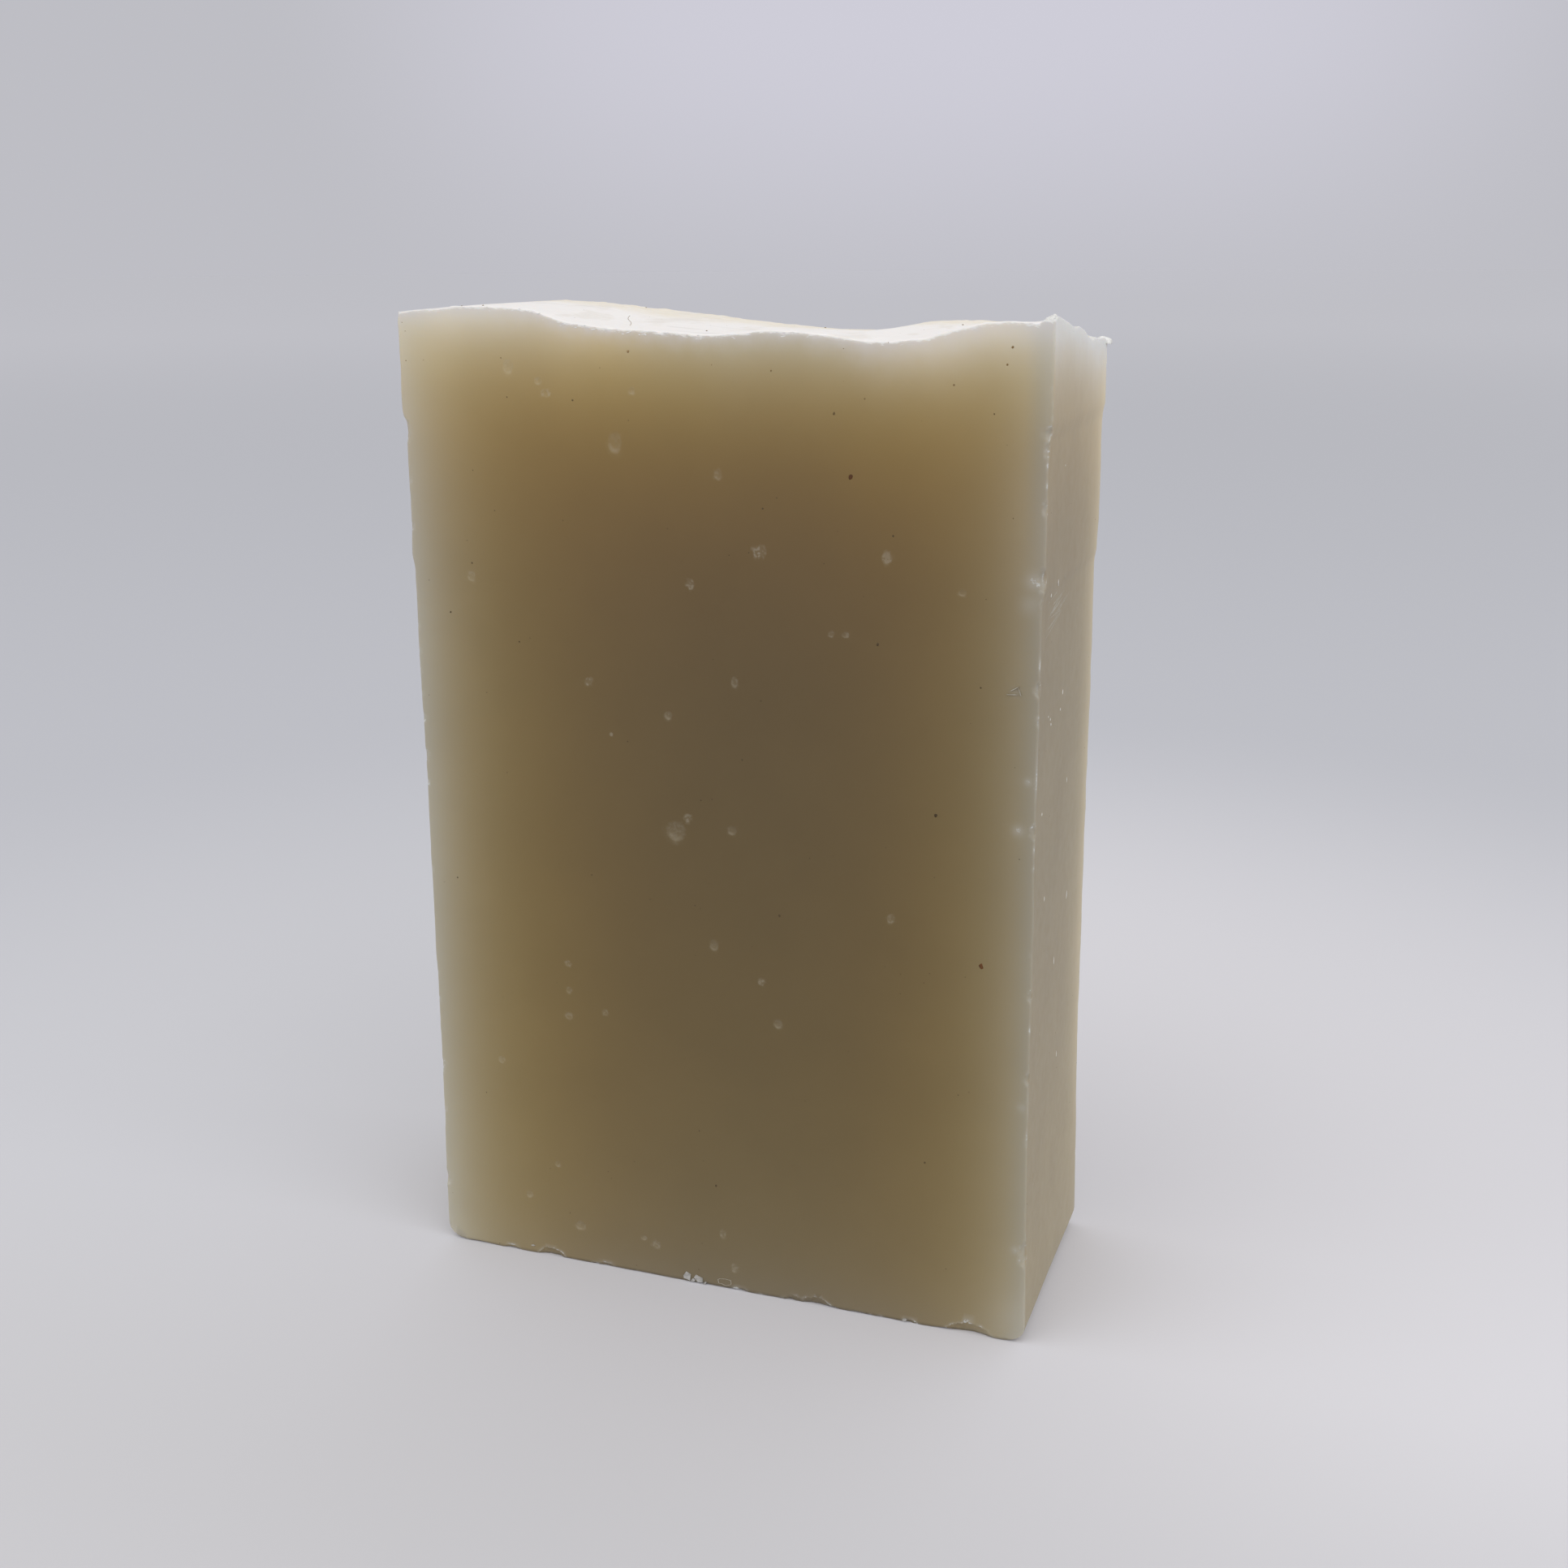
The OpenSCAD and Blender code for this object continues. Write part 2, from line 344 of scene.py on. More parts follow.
def cap_points(y, bubbles, chips):
    """The inner points of a cap."""
    x, z = np.meshgrid(np.arange(-HALF_W, HALF_W, GRID), np.arange(0, BAR_H, GRID))
    shift = GRID / 2 * (np.arange(len(x)) % 2)
    grid = np.stack([(x + shift[:, None]).ravel(), z.ravel()], 1)
    found = [inset_loop(inset, step, y) for inset, step in LOOPS]
    found = np.concatenate(found + [grid[inside(grid, y, LOOPS[-1][0] + 1)]])
    patches = [patch(*chip) for chip in chips]
    for across, length, depth in chips:
        near = np.abs(found[:, 0] - across) < length * PATCH_CLEAR
        near &= found[:, 1] < depth * PATCH_HIGH
        found = found[~near]
    rings = []
    marks = [bubble[:4] for bubble in bubbles] + [(*scuff[:3], 1) for scuff in SCUFFS]
    for across, up, radius, tall in marks:
        gap = np.hypot(found[:, 0] - across, (found[:, 1] - up) / tall)
        found = found[gap > radius * RING_CLEAR]
        for share, count in RINGS:
            angle = np.arange(count) / count * math.tau + share
            ring = np.stack([np.cos(angle), np.sin(angle) * tall], 1)
            rings.append(ring * radius * share + (across, up))
    extra = np.concatenate(rings + patches)
    extra = extra[inside(extra, y, CLOSEST)]
    return np.unique(np.concatenate([found, extra]).round(3), axis=0)


def fill_cap(loop, inner):
    """Triangles between the points of a closed loop and the points inside it."""
    points = np.concatenate([loop, inner])
    _, _, triangles, sources, _, _ = delaunay_2d_cdt(
        [Vector(point) for point in points], [], [list(range(len(loop)))], 1, SAME_POINT, True)
    back = np.array([source[0] for source in sources])
    triangles = back[np.array(triangles)]
    one, two, three = points[np.sort(triangles)].transpose(1, 0, 2)
    (ax, az), (bx, bz) = (two - one).T, (three - one).T
    return triangles[(ax * bz - az * bx > FLAT) | (triangles.max(1) >= len(loop))]


rng = np.random.default_rng(12)
back_bubbles = [
    (rng.uniform(-24, 24), rng.uniform(3, 80), radius, rng.uniform(0.9, 1.3), rng.uniform(0.1, 0.9))
    for radius in rng.uniform(0.2, 0.65, 26)
]
back_chips = [(12.5, 3.2, 0.5), (-6, 2.4, 0.35), (-21, 3, 0.4)]
front_inner = cap_points(-HALF_T, BUBBLES, FOOT_CHIPS)
back_inner = cap_points(HALF_T, back_bubbles, back_chips)
front_faces = fill_cap(band[0], front_inner)
back_faces = fill_cap(band[-1], back_inner)
print(f"front cap {len(front_faces)} triangles, back cap {len(back_faces)}")

# %% Points and faces of the whole bar
count = ROWS * COLS
points = np.concatenate(
    [np.insert(row, 1, y, axis=1) for row, y in zip(band, depths)]
    + [np.insert(front_inner, 1, -HALF_T, axis=1), np.insert(back_inner, 1, HALF_T, axis=1)]
)
faces = []
skin_faces = set()
for row in range(ROWS - 1):
    for col in range(COLS):
        if col in TOP_COLS:
            skin_faces.add(len(faces))
        here, there, after = row * COLS, (row + 1) * COLS, (col + 1) % COLS
        faces.append((here + col, there + col, there + after, here + after))
front_index = np.r_[0:COLS, count:count + len(front_inner)]
back_index = np.r_[count - COLS:count, count + len(front_inner):len(points)]
faces += front_index[front_faces].tolist()
faces += back_index[back_faces[:, ::-1]].tolist()
print(len(points), "points,", len(faces), "faces")

# %% [markdown]
# ## Wear
# Every point now gets its place on the real bar. The cut edges are dulled by a radius that changes
# along the edge, the rims of the poured top are a little ragged, and the chips and nicks are
# bites: where a point lies inside the ball of a bite, it is pushed out to the ball's surface.


# %% How far in each point lies
def inward(points):
    """For each point: distance in from the outline, and the direction straight in (x and z)."""
    x, y, z = points.T
    gaps = np.stack([wall_x(z) - np.abs(x), top_z(x, y) - z, z], 1)
    still = 0 * x
    ways = np.stack([
        np.stack([-np.sign(x), still], 1),
        np.stack([still, still - 1], 1),
        np.stack([still, still + 1], 1),
    ], 1)
    rows = np.arange(len(x))
    nearest = gaps.argmin(1)
    distance, way = gaps[rows, nearest], ways[rows, nearest]
    off = np.stack([np.abs(x) - HALF_W + FOOT_R, FOOT_R - z], 1)
    at_corner = (off > 0).all(1)
    reach = np.maximum(np.hypot(*off.T), 1e-6)
    distance = np.where(at_corner, FOOT_R - reach, distance)
    turn = np.stack([-np.sign(x) * off[:, 0], off[:, 1]], 1) / reach[:, None]
    return np.maximum(distance, 0), np.where(at_corner[:, None], turn, way)


TOUCHING = 1e-6  # a gap under this is none
edge_gap, edge_way = inward(points)
cut_gap = HALF_T - np.abs(points[:, 1])
side = np.sign(points[:, 0])
face = np.sign(points[:, 1])
top_gap = np.maximum(top_z(points[:, 0], points[:, 1]) - points[:, 2], 0)
print("points within 1 mm of a cut edge:", int(((edge_gap < 1) & (cut_gap < 1)).sum()))

# %% Dull cut edges
SHARPEST, DULLEST = 0.04, 0.5  # radius of a cut edge
on_foot = edge_way[:, 1] > 0.5
on_side = np.abs(edge_way[:, 0]) > 0.5
front_right = (side > 0) & (face < 0) & on_side
dull = 0.1 + 0.06 * (1 + noise(points, 3.0, 3)) ** 2 + 0.05 * noise(points, 0.8, 4)
dull += on_foot * (0.02 + 0.08 * noise(points, 1.7, 5))
crisp = 0.6 + 1.1 * smooth((points[:, 2] - 74) / 8)
dull = np.clip(dull * np.where(front_right, crisp, 1), SHARPEST, DULLEST)
reach = np.stack([dull - edge_gap, dull - cut_gap], 1)
rounded = (reach > 0).all(1)
scale = dull / np.maximum(np.hypot(*reach.T), 1e-6)
pull_edge = np.where(rounded, dull - reach[:, 0] * scale - edge_gap, 0)
pull_cut = np.where(rounded, dull - reach[:, 1] * scale - cut_gap, 0)
worn = points.copy()
worn[:, [0, 2]] += pull_edge[:, None] * edge_way
worn[:, 1] -= pull_cut * face
print(f"edge radius from {dull.min():.2f} to {dull.max():.2f} mm")

# %% Round corners of the top, ragged rims and the knife's burr
near_cut = smooth(1 - cut_gap / 1.2)
near_top = smooth(1 - top_gap / 1.6)
near_side = smooth(1 - (wall_x(points[:, 2]) - np.abs(points[:, 0])) / 1.1)
worn[:, 2] -= 0.05 * near_side**2 * near_top * (side < 0)
worn[:, 0] -= 0.12 * side * smooth(1 - top_gap / 1.1) ** 2 * near_side * (side < 0)
torn_side = smooth((points[:, 0] - HALF_W + 1.8) / 1.8)
ripple = 0.05 * noise(points, 3.5, 6) + 0.02 * noise(points, 1.1, 7)
rim = (0.06 * noise(points, 0.9, 8) + 0.04 * noise(points, 0.4, 24)) * near_cut
torn = torn_side * (0.10 * noise(points, 1.4, 9) + 0.09 * noise(points, 0.6, 10))
torn += smooth((points[:, 0] - HALF_W + 1.0) / 0.9) * np.interp(points[:, 1], *zip(*TORN_RIM))
worn[:, 2] += near_top * (ripple + rim + torn)
# The walls stand out in two steps where the soap rose, and a little at the foot
WALL_STEPS = [(64.2, 1.5, 0.18), (76.6, 1.6, 0.22)]  # up, height of the step, how far out
FOOT_SPREAD, FOOT_OUT = 22, 0.28
rise = points[:, 2]
stands_out = sum(out * smooth((rise - up) / tall) for up, tall, out in WALL_STEPS)
stands_out += FOOT_OUT * smooth(1 - rise / FOOT_SPREAD) - (wall_x(rise) - HALF_W)
waver = 0.06 * noise(points, 9.0, 12) + 0.04 * noise(points, 2.2, 13) * near_cut
worn[:, 0] -= edge_way[:, 0] * smooth(1 - edge_gap / 0.8) * (waver + stands_out)
burr = smooth(1 - edge_gap / 0.3) * smooth(1 - cut_gap / 0.3) * front_right
worn[:, 1] -= 0.05 * burr * np.clip(noise(points, 1.6, 14), 0, 1)
foot_rim = smooth(1 - points[:, 2] / 0.8) * near_cut * on_foot
lift = np.clip(0.02 + 0.05 * noise(points, 6.0, 21) + 0.10 * noise(points, 1.3, 11), 0, 0.35)
worn[:, 2] += foot_rim * lift
print(f"points moved by up to {np.abs(worn - points).max():.2f} mm")


# %% Bites
def ball(at, length, depth, towards):
    """Centre and radius of the ball that bites length by depth at a point, from one side."""
    radius = (length**2 / 4 + depth**2) / (2 * depth)
    towards = np.array(towards, float) / np.linalg.norm(towards)
    return np.array(at, float) + towards * (radius - depth), radius


SHALLOW = 0.7  # share of its listed depth that a foot chip gets
FROM_BELOW = -0.4  # how far below straight ahead a chip's ball lies
SMALL_BITES = 130
chips = [
    ball((x, cut * HALF_T, 0), size, SHALLOW * depth, (0, cut, FROM_BELOW))
    for cut, row in ((-1, FOOT_CHIPS), (1, back_chips)) for x, size, depth in row
]
nicks = [
    ball((hand * HALF_W, -HALF_T, up), size, depth, (hand, -1, 0))
    for hand, up, size, depth in EDGE_NICKS
]
rng = np.random.default_rng(21)
for _ in range(SMALL_BITES):
    cut = rng.choice((-1, 1), p=(0.5, 0.5))
    place = rng.uniform(-1, 1)
    edge = rng.choice(("foot", "left", "right", "top"))
    size = rng.uniform(0.25, 1.1)
    depth = size * rng.uniform(0.06, 0.16)
    if edge == "foot":
        chips.append(ball((place * (HALF_W - 2), cut * HALF_T, 0), size, depth, (0, cut, -1)))
    elif edge == "top":
        x = place * (HALF_W - 2)
        nicks.append(ball((x, cut * HALF_T, float(top_z(x, cut * HALF_T))), size, depth, (0, cut, 1)))
    else:
        hand = 1 if edge == "right" else -1
        up = BAR_H / 2 + place * (BAR_H / 2 - 4)
        nicks.append(ball((hand * float(wall_x(up)), cut * HALF_T, up), size, depth, (hand, cut, 0)))

LIP = 0.1  # about how wide the pale line round a bite is
bruise = np.zeros(len(points))
torn_line = np.zeros(len(points))
uneven = 0.06 * noise(points, 0.6, 15) + 0.04 * noise(points, 0.25, 17)
for number, (centre, radius) in enumerate(chips + nicks):
    away = worn - centre
    gap = np.linalg.norm(away, axis=1)
    here = radius * (1 + uneven / max(radius, 1))
    hit = gap < here
    worn[hit] = centre + away[hit] * (here[hit] / gap[hit])[:, None]
    lip = np.exp(-(((gap - here) / LIP) ** 2)) * (gap >= here)
    torn_line = np.maximum(torn_line, lip)
    if number >= len(chips):
        bruise[hit] = np.maximum(bruise[hit], 0.5)
worn[:, 2] = np.maximum(worn[:, 2], 0)
print(len(chips), "chips and", len(nicks), "nicks")

# %% [markdown]
# ## Burst bubbles
# Bubbles that the knife opened are shallow bowls in the cut. Some kept a clean bowl, a little pale,
# with a painted highlight on its lower lip, which faces up into the light. Most dried to pale
# crumbs, and there the bowl is hardly seen. The bowl is pressed into the mesh, and how pale each
# point is goes with it as a number for the finish.

# %% Bowls, with painted highlights on their lips
BOWL = 0.2  # depth of a clean bowl, as a share of its radius
pale = np.zeros(len(points))
bowl_lit_lips = np.zeros(len(points))
on_cap = cut_gap < TOUCHING
for cut, bubbles in ((-1, BUBBLES), (1, back_bubbles)):
    for number, (across, up, radius, tall, crumbly) in enumerate(bubbles):
        dx = (points[:, 0] - across) / radius
        dz = (points[:, 2] - up) / (radius * tall)
        gap = np.hypot(dx, dz) * (1 + (0.06 + 0.2 * crumbly) * noise(points, 0.6 * radius, 60 + number))
        here = on_cap & (face == cut) & (gap < 3)
        bowl = np.clip(1 - gap**2, 0, 1)
        worn[:, 1] -= here * cut * BOWL * radius * bowl * (1 - 0.8 * crumbly)
        # Painted highlight: a crescent on the lower lip of a clean bowl, where it faces up into the
        # light.
        lit_crescent = np.exp(-(((gap - 0.85) / 0.22) ** 2)) * np.clip(-0.2 - 0.3 * dx - dz, 0.08, 1)
        bowl_lit_lips = np.maximum(bowl_lit_lips, here * (1 - crumbly) * (lit_crescent + 0.2 * smooth(3 - 3 * gap)))
        pale = np.maximum(pale, here * crumbly * smooth(2.6 - 2 * gap))
print(f"{(bowl_lit_lips > 0.1).sum()} points on pale lips and {(pale > 0.1).sum()} on crumbs")

# %% Numbers for the finish
edge_line = smooth(1 - edge_gap / 0.25) * smooth(1 - cut_gap / 0.25)
dashes = sum(np.exp(-(((points[:, 2] - up) / half) ** 2)) for up, half in DASHES)
strength = np.where(front_right, 0.16 + 0.65 * dashes, 0.25)
wear = edge_line * strength * np.clip(0.8 + 0.6 * noise(points, 1.3, 16), 0, 1.3)
for across, up, spread, much in SCUFFS:
    gap = np.hypot(points[:, 0] - across, points[:, 2] - up) / spread
    wear = np.maximum(wear, on_cap * (face < 0) * much * np.exp(-gap**2))
wear = np.maximum(wear, bruise * np.clip(0.5 + noise(points, 0.4, 19), 0, 1))
wear = np.maximum(wear, 0.85 * torn_line * np.clip(0.6 + 0.6 * noise(points, 0.5, 20), 0, 1))
low_edge = front_right * smooth(1 - edge_gap / 0.35) * smooth(1 - cut_gap / 0.5)
wear = np.maximum(wear, 0.25 * low_edge * smooth(2 - points[:, 2] / 5.5))
wear = np.clip(wear, 0, 1)
on_wall = on_side * (edge_gap < TOUCHING) * smooth(cut_gap / 0.25)
frosty = on_wall * (side > 0) * np.clip(1.15 * np.exp(-top_gap / 2.3), 0, 1)
frosty = np.maximum(frosty, smooth((points[:, 0] - HALF_W + 1.5) / 1.5) * (top_gap < TOUCHING))
foot_corner = np.hypot(points[:, 0] - HALF_W + 0.5, points[:, 2] - 2) / 2.4
frosty = np.maximum(frosty, 0.08 * on_cap * (face < 0) * np.exp(-(foot_corner**2)))
print(f"mean wear {wear.mean():.3f}, mean paleness {pale.mean():.3f}")


# %% [markdown]
# ## The mesh itself
# The points become one closed mesh. Each point keeps numbers for the finish: its depth below
# the poured top, how worn, how pale and how frosty it is, and whether it lies on a bowl's lip or
# on a side wall. The top's faces take a second material, because the dry skin there is chalk and
# not wet-looking soap. The small things are put on the worn bar later, so a straight line can be
# asked where it meets the bar.

# %% Making a mesh
def make_mesh(name, corners, polygons):
    """A mesh object at the origin from points in mm."""
    mesh = bpy.data.meshes.new(name)
    mesh.from_pydata((np.asarray(corners) * MM).tolist(), [], polygons)
    mesh.update()
    made = bpy.data.objects.new(name, mesh)
    bpy.context.scene.collection.objects.link(made)
    return made


def keep_numbers(made, name, values, kind="FLOAT"):
    """Keeps a number, or three, with each point of a mesh."""
    layer = made.data.attributes.new(name, kind, "POINT")
    key = "value" if kind == "FLOAT" else "vector"
    layer.data.foreach_set(key, np.asarray(values, np.float32).ravel())


bar = make_mesh("soap_body", worn, faces)
numbers = {
    "depth": top_gap, "wear": wear, "pale": pale, "lip": bowl_lit_lips, "frost": frosty, "wall": on_wall}
for name, values in numbers.items():
    keep_numbers(bar, name, values)
material_index = np.zeros(len(faces), np.int32)
material_index[list(skin_faces)] = 1
bar.data.polygons.foreach_set("material_index", material_index)
bar.data.shade_smooth()
bar.data.set_sharp_from_angle(angle=math.radians(50))
edge_use = np.zeros(len(bar.data.edges), int)
np.add.at(edge_use, [loop.edge_index for loop in bar.data.loops], 1)
worn_tree = BVHTree.FromObject(bar, bpy.context.evaluated_depsgraph_get())


def on_bar(start, way):
    """Where a straight line in mm first meets the worn bar."""
    return np.array(worn_tree.ray_cast(Vector(start) * MM, Vector(way))[0]) / MM


print(bar.name, len(bar.data.polygons), "faces,", int((edge_use != 2).sum()), "open edges")

# %% [markdown]
# ## Node trees as arithmetic
# Finishes and scatters are both node trees. One small class builds them: its main method adds a
# node from its type, its settings and the values or links of its sockets. What comes back is
# wrapped, so that sums and products of sockets can be written as such.


# %% Sockets with operators
class Socket:
    """One output of a node. Arithmetic on it adds Math nodes."""

    def __init__(self, recipe, output):
        self.recipe = recipe
        self.output = output

    def math(self, operation, *operands):
        return self.recipe.node("ShaderNodeMath", {"operation": operation}, dict(enumerate(operands)))

    def __add__(self, other):
        return self.math("ADD", self, other)

    def __mul__(self, other):
        return self.math("MULTIPLY", self, other)

    def __radd__(self, other):
        return self if other == 0 and isinstance(other, int) else self + other

    def __sub__(self, other):
        return self.math("SUBTRACT", self, other)

    def __rsub__(self, other):
        return self.math("SUBTRACT", other, self)

    __rmul__ = __mul__

    def at_least(self, other):
        return self.math("MAXIMUM", self, other)

    def other(self, name):
        """Another output of the same node."""
        return Socket(self.recipe, self.output.node.outputs[name])

    def fall(self, reach):
        """1 where this is 0, fading by e over each reach."""
        return self.math("EXPONENT", self * (-1 / reach))

    def ease(self, start, end):
        """0 at start and 1 at end, eased between. Start may be the larger."""
        settings = {"interpolation_type": "SMOOTHSTEP"}
        return self.recipe.node("ShaderNodeMapRange", settings, {0: self, 1: start, 2: end})


class Recipe:
    """A node tree under construction."""

    def __init__(self, tree):
        self.tree = tree
        tree.nodes.clear()

    def node(self, kind, settings, sockets, output=0):
        """Adds a node of this kind and returns one of its outputs, if it has any."""
        made = self.tree.nodes.new(kind)
        for number, (place, colour) in enumerate(settings.pop("stops", [])):
            elements = made.color_ramp.elements
            stop = elements[number] if number < 2 else elements.new(place)
            stop.position = place
            stop.color = colour
        for key, value in settings.items():
            setattr(made, key, value)
        for key, value in sockets.items():
            if isinstance(value, Socket):
                self.tree.links.new(value.output, made.inputs[key])
            else:
                made.inputs[key].default_value = value
        return Socket(self, made.outputs[output]) if len(made.outputs) else None

    def mix(self, factor, one, two, blend="MIX"):
        """A colour between one and two."""
        settings = {"data_type": "RGBA", "blend_type": blend}
        return self.node("ShaderNodeMix", settings, {0: factor, 6: one, 7: two}, 2)


# %% A recipe for a material
class Finish(Recipe):
    """A material under construction."""

    def __init__(self, name):
        self.material = bpy.data.materials.new(name)
        self.material.use_nodes = True
        super().__init__(self.material.node_tree)
        self.place = self.node("ShaderNodeTexCoord", {}, {}, "Object")
        split = self.node("ShaderNodeSeparateXYZ", {}, {0: self.place})
        self.x, self.y, self.z = (split.other(axis) * (1 / MM) for axis in "XYZ")

    def kept(self, name):
        """A number that the mesh keeps with its points."""
        return self.node("ShaderNodeAttribute", {"attribute_name": name}, {}, "Fac")

    def grain(self, size, detail=3.0, stretch=(1, 1, 1)):
        """Noise from 0 to 1, with bumps about the given size in mm."""
        place = self.node("ShaderNodeMapping", {}, {"Vector": self.place, "Scale": stretch})
        sockets = {"Vector": place, "Scale": 1 / (size * MM), "Detail": detail, "Roughness": 0.55}
        return self.node("ShaderNodeTexNoise", {}, sockets)

    def bump(self, height, distance, strength=1.0, under=None):
        """A normal bent by a height. The distance is in mm."""
        sockets = {"Height": height, "Distance": distance * MM, "Strength": strength}
        if under is not None:
            sockets["Normal"] = under
        return self.node("ShaderNodeBump", {}, sockets)

    def end(self, **sockets):
        """Ends the tree in a Principled shader and returns the material."""
        sockets = {key.replace("_", " "): value for key, value in sockets.items()}
        shader = self.node("ShaderNodeBsdfPrincipled", {}, sockets)
        self.node("ShaderNodeOutputMaterial", {}, {"Surface": shader})
        return self.material


print("recipes ready")

# %% [markdown]
# ## Soap
# Soap is cloudy but lets light in. Near an edge, light from outside comes back out and the soap
# looks pale. Deep in, the light has been through so much soap that only brown is left. Blue dies
# first, then green, so going in from an edge the colour runs from grey through olive to brown.
# This light is painted into the colour, as a sum: the brown core, and for each wall a glow that
# fades with the distance from it, at its own rate for red, green and blue. The top gives most and
# the foot least. Where a side meets the top they light the same soap, so a part of their product
# is taken off again. A faint milky haze of painted light, with more blue in it, scattered back out,
# lies along the same walls, and thickest at the top's left end. Near both ends of the top the thin
# rim is lit through as well. These numbers can't be measured on a picture one by one, so they were
# fitted together to the colours that it shows on the front, and some were then changed. The rim's
# light was not in that fit.

# %% The soap's colour
CORE = (0.0917, 0.0716, 0.0347)
TINT = (0.228, 0.196, 0.129)
REACH = (6.89, 5.35, 3.15)
SHARE = {"left": 1.0, "right": 0.779, "top": 1.625, "foot": 0.328}
STRETCH = {"left": 1.363, "right": 0.983, "top": 1.0, "foot": 4.08}
OVERLAP = 0.26
HAZE = {"left": 0.052, "right": 0.033, "top": 0.0127, "foot": 0.0095}
HAZE_TINT = (1.0, 1.6, 2.37)
HAZE_REACH = 2.6
LEFT_HAZE = 8.0
MIDDLE_HAZE = 2.4
RIGHT_HAZE = 3.0
RIM_LIGHT = [  # where it starts, is full, fades and ends; its reach and colour
    (10, 21.5, 23.5, 27.5, 1.5, (0.25, 0.215, 0.145)), (-28, -23, -10, -2, 3.5, (0.09, 0.06, 0.02)),
]


def soap_glow(finish):
    """Colour of the soap from its distance to the walls that let light in."""
    gaps = {
        "left": (finish.x + HALF_W).at_least(0.0),
        "right": (HALF_W - finish.x).at_least(0.0),
        "top": finish.kept("depth"),
        "foot": finish.z.at_least(0.0),
    }
    # Painted light: a faint bluish haze of light scattered back out near each wall, thickest along the
    # top's left end.
    haze_lights = {wall: gap.fall(HAZE_REACH) * HAZE[wall] for wall, gap in gaps.items()}
    left = finish.x.ease(-8.0, -20.0) * finish.x.ease(-29.0, -22.0) * LEFT_HAZE
    middle = finish.x.ease(-2.0, 3.0) * finish.x.ease(14.0, 9.0) * MIDDLE_HAZE
    right = finish.x.ease(16.0, 21.0) * RIGHT_HAZE
    haze_lights["top"] = haze_lights["top"] * (1 + left + middle + right)
    haze = sum(haze_lights.values())
    rims = []
    for start, full, fade, end, reach, tint in RIM_LIGHT:
        share = finish.x.ease(start, full) * finish.x.ease(end, fade)
        rims.append((share * gaps["top"].fall(reach), tint))
    channels = []
    for band, (core, tint, reach, milk) in enumerate(zip(CORE, TINT, REACH, HAZE_TINT)):
        glow = {wall: gap.fall(reach * STRETCH[wall]) * SHARE[wall] for wall, gap in gaps.items()}
        twice = (glow["left"] + glow["right"]) * glow["top"] * OVERLAP
        rim = sum(share * colour[band] for share, colour in rims)
        channels.append((sum(glow.values()) - twice) * tint + haze * milk + rim + core)
    return finish.node("ShaderNodeCombineColor", {}, dict(enumerate(channels)))


# %% The soap's finish
WALL_TINT = (0.92, 0.86, 0.77, 1)
LIT_STRIP_TINT = (0.87, 0.905, 0.98, 1)
FOOT_SHADE = (0.7, 0.68, 0.66, 1)
BLOTCH_TINT = (0.92, 0.91, 0.9, 1)
BACK_GLOW = (0.26, 0.23, 0.16, 1)
BACK_RIM_LIGHT = (0.43, 0.43, 0.42, 1)
LIT_RIM_GREY = (0.60, 0.58, 0.585, 1)
TORN_WHITE = (0.68, 0.675, 0.655, 1)
FILM_WHITE = (0.72, 0.71, 0.69, 1)
CRUMB_CREAM = (0.47, 0.44, 0.36, 1)
BOWL_LIT_LIP_CREAM = (0.47, 0.43, 0.33, 1)
SCUFF_GREY = (0.56, 0.57, 0.57, 1)


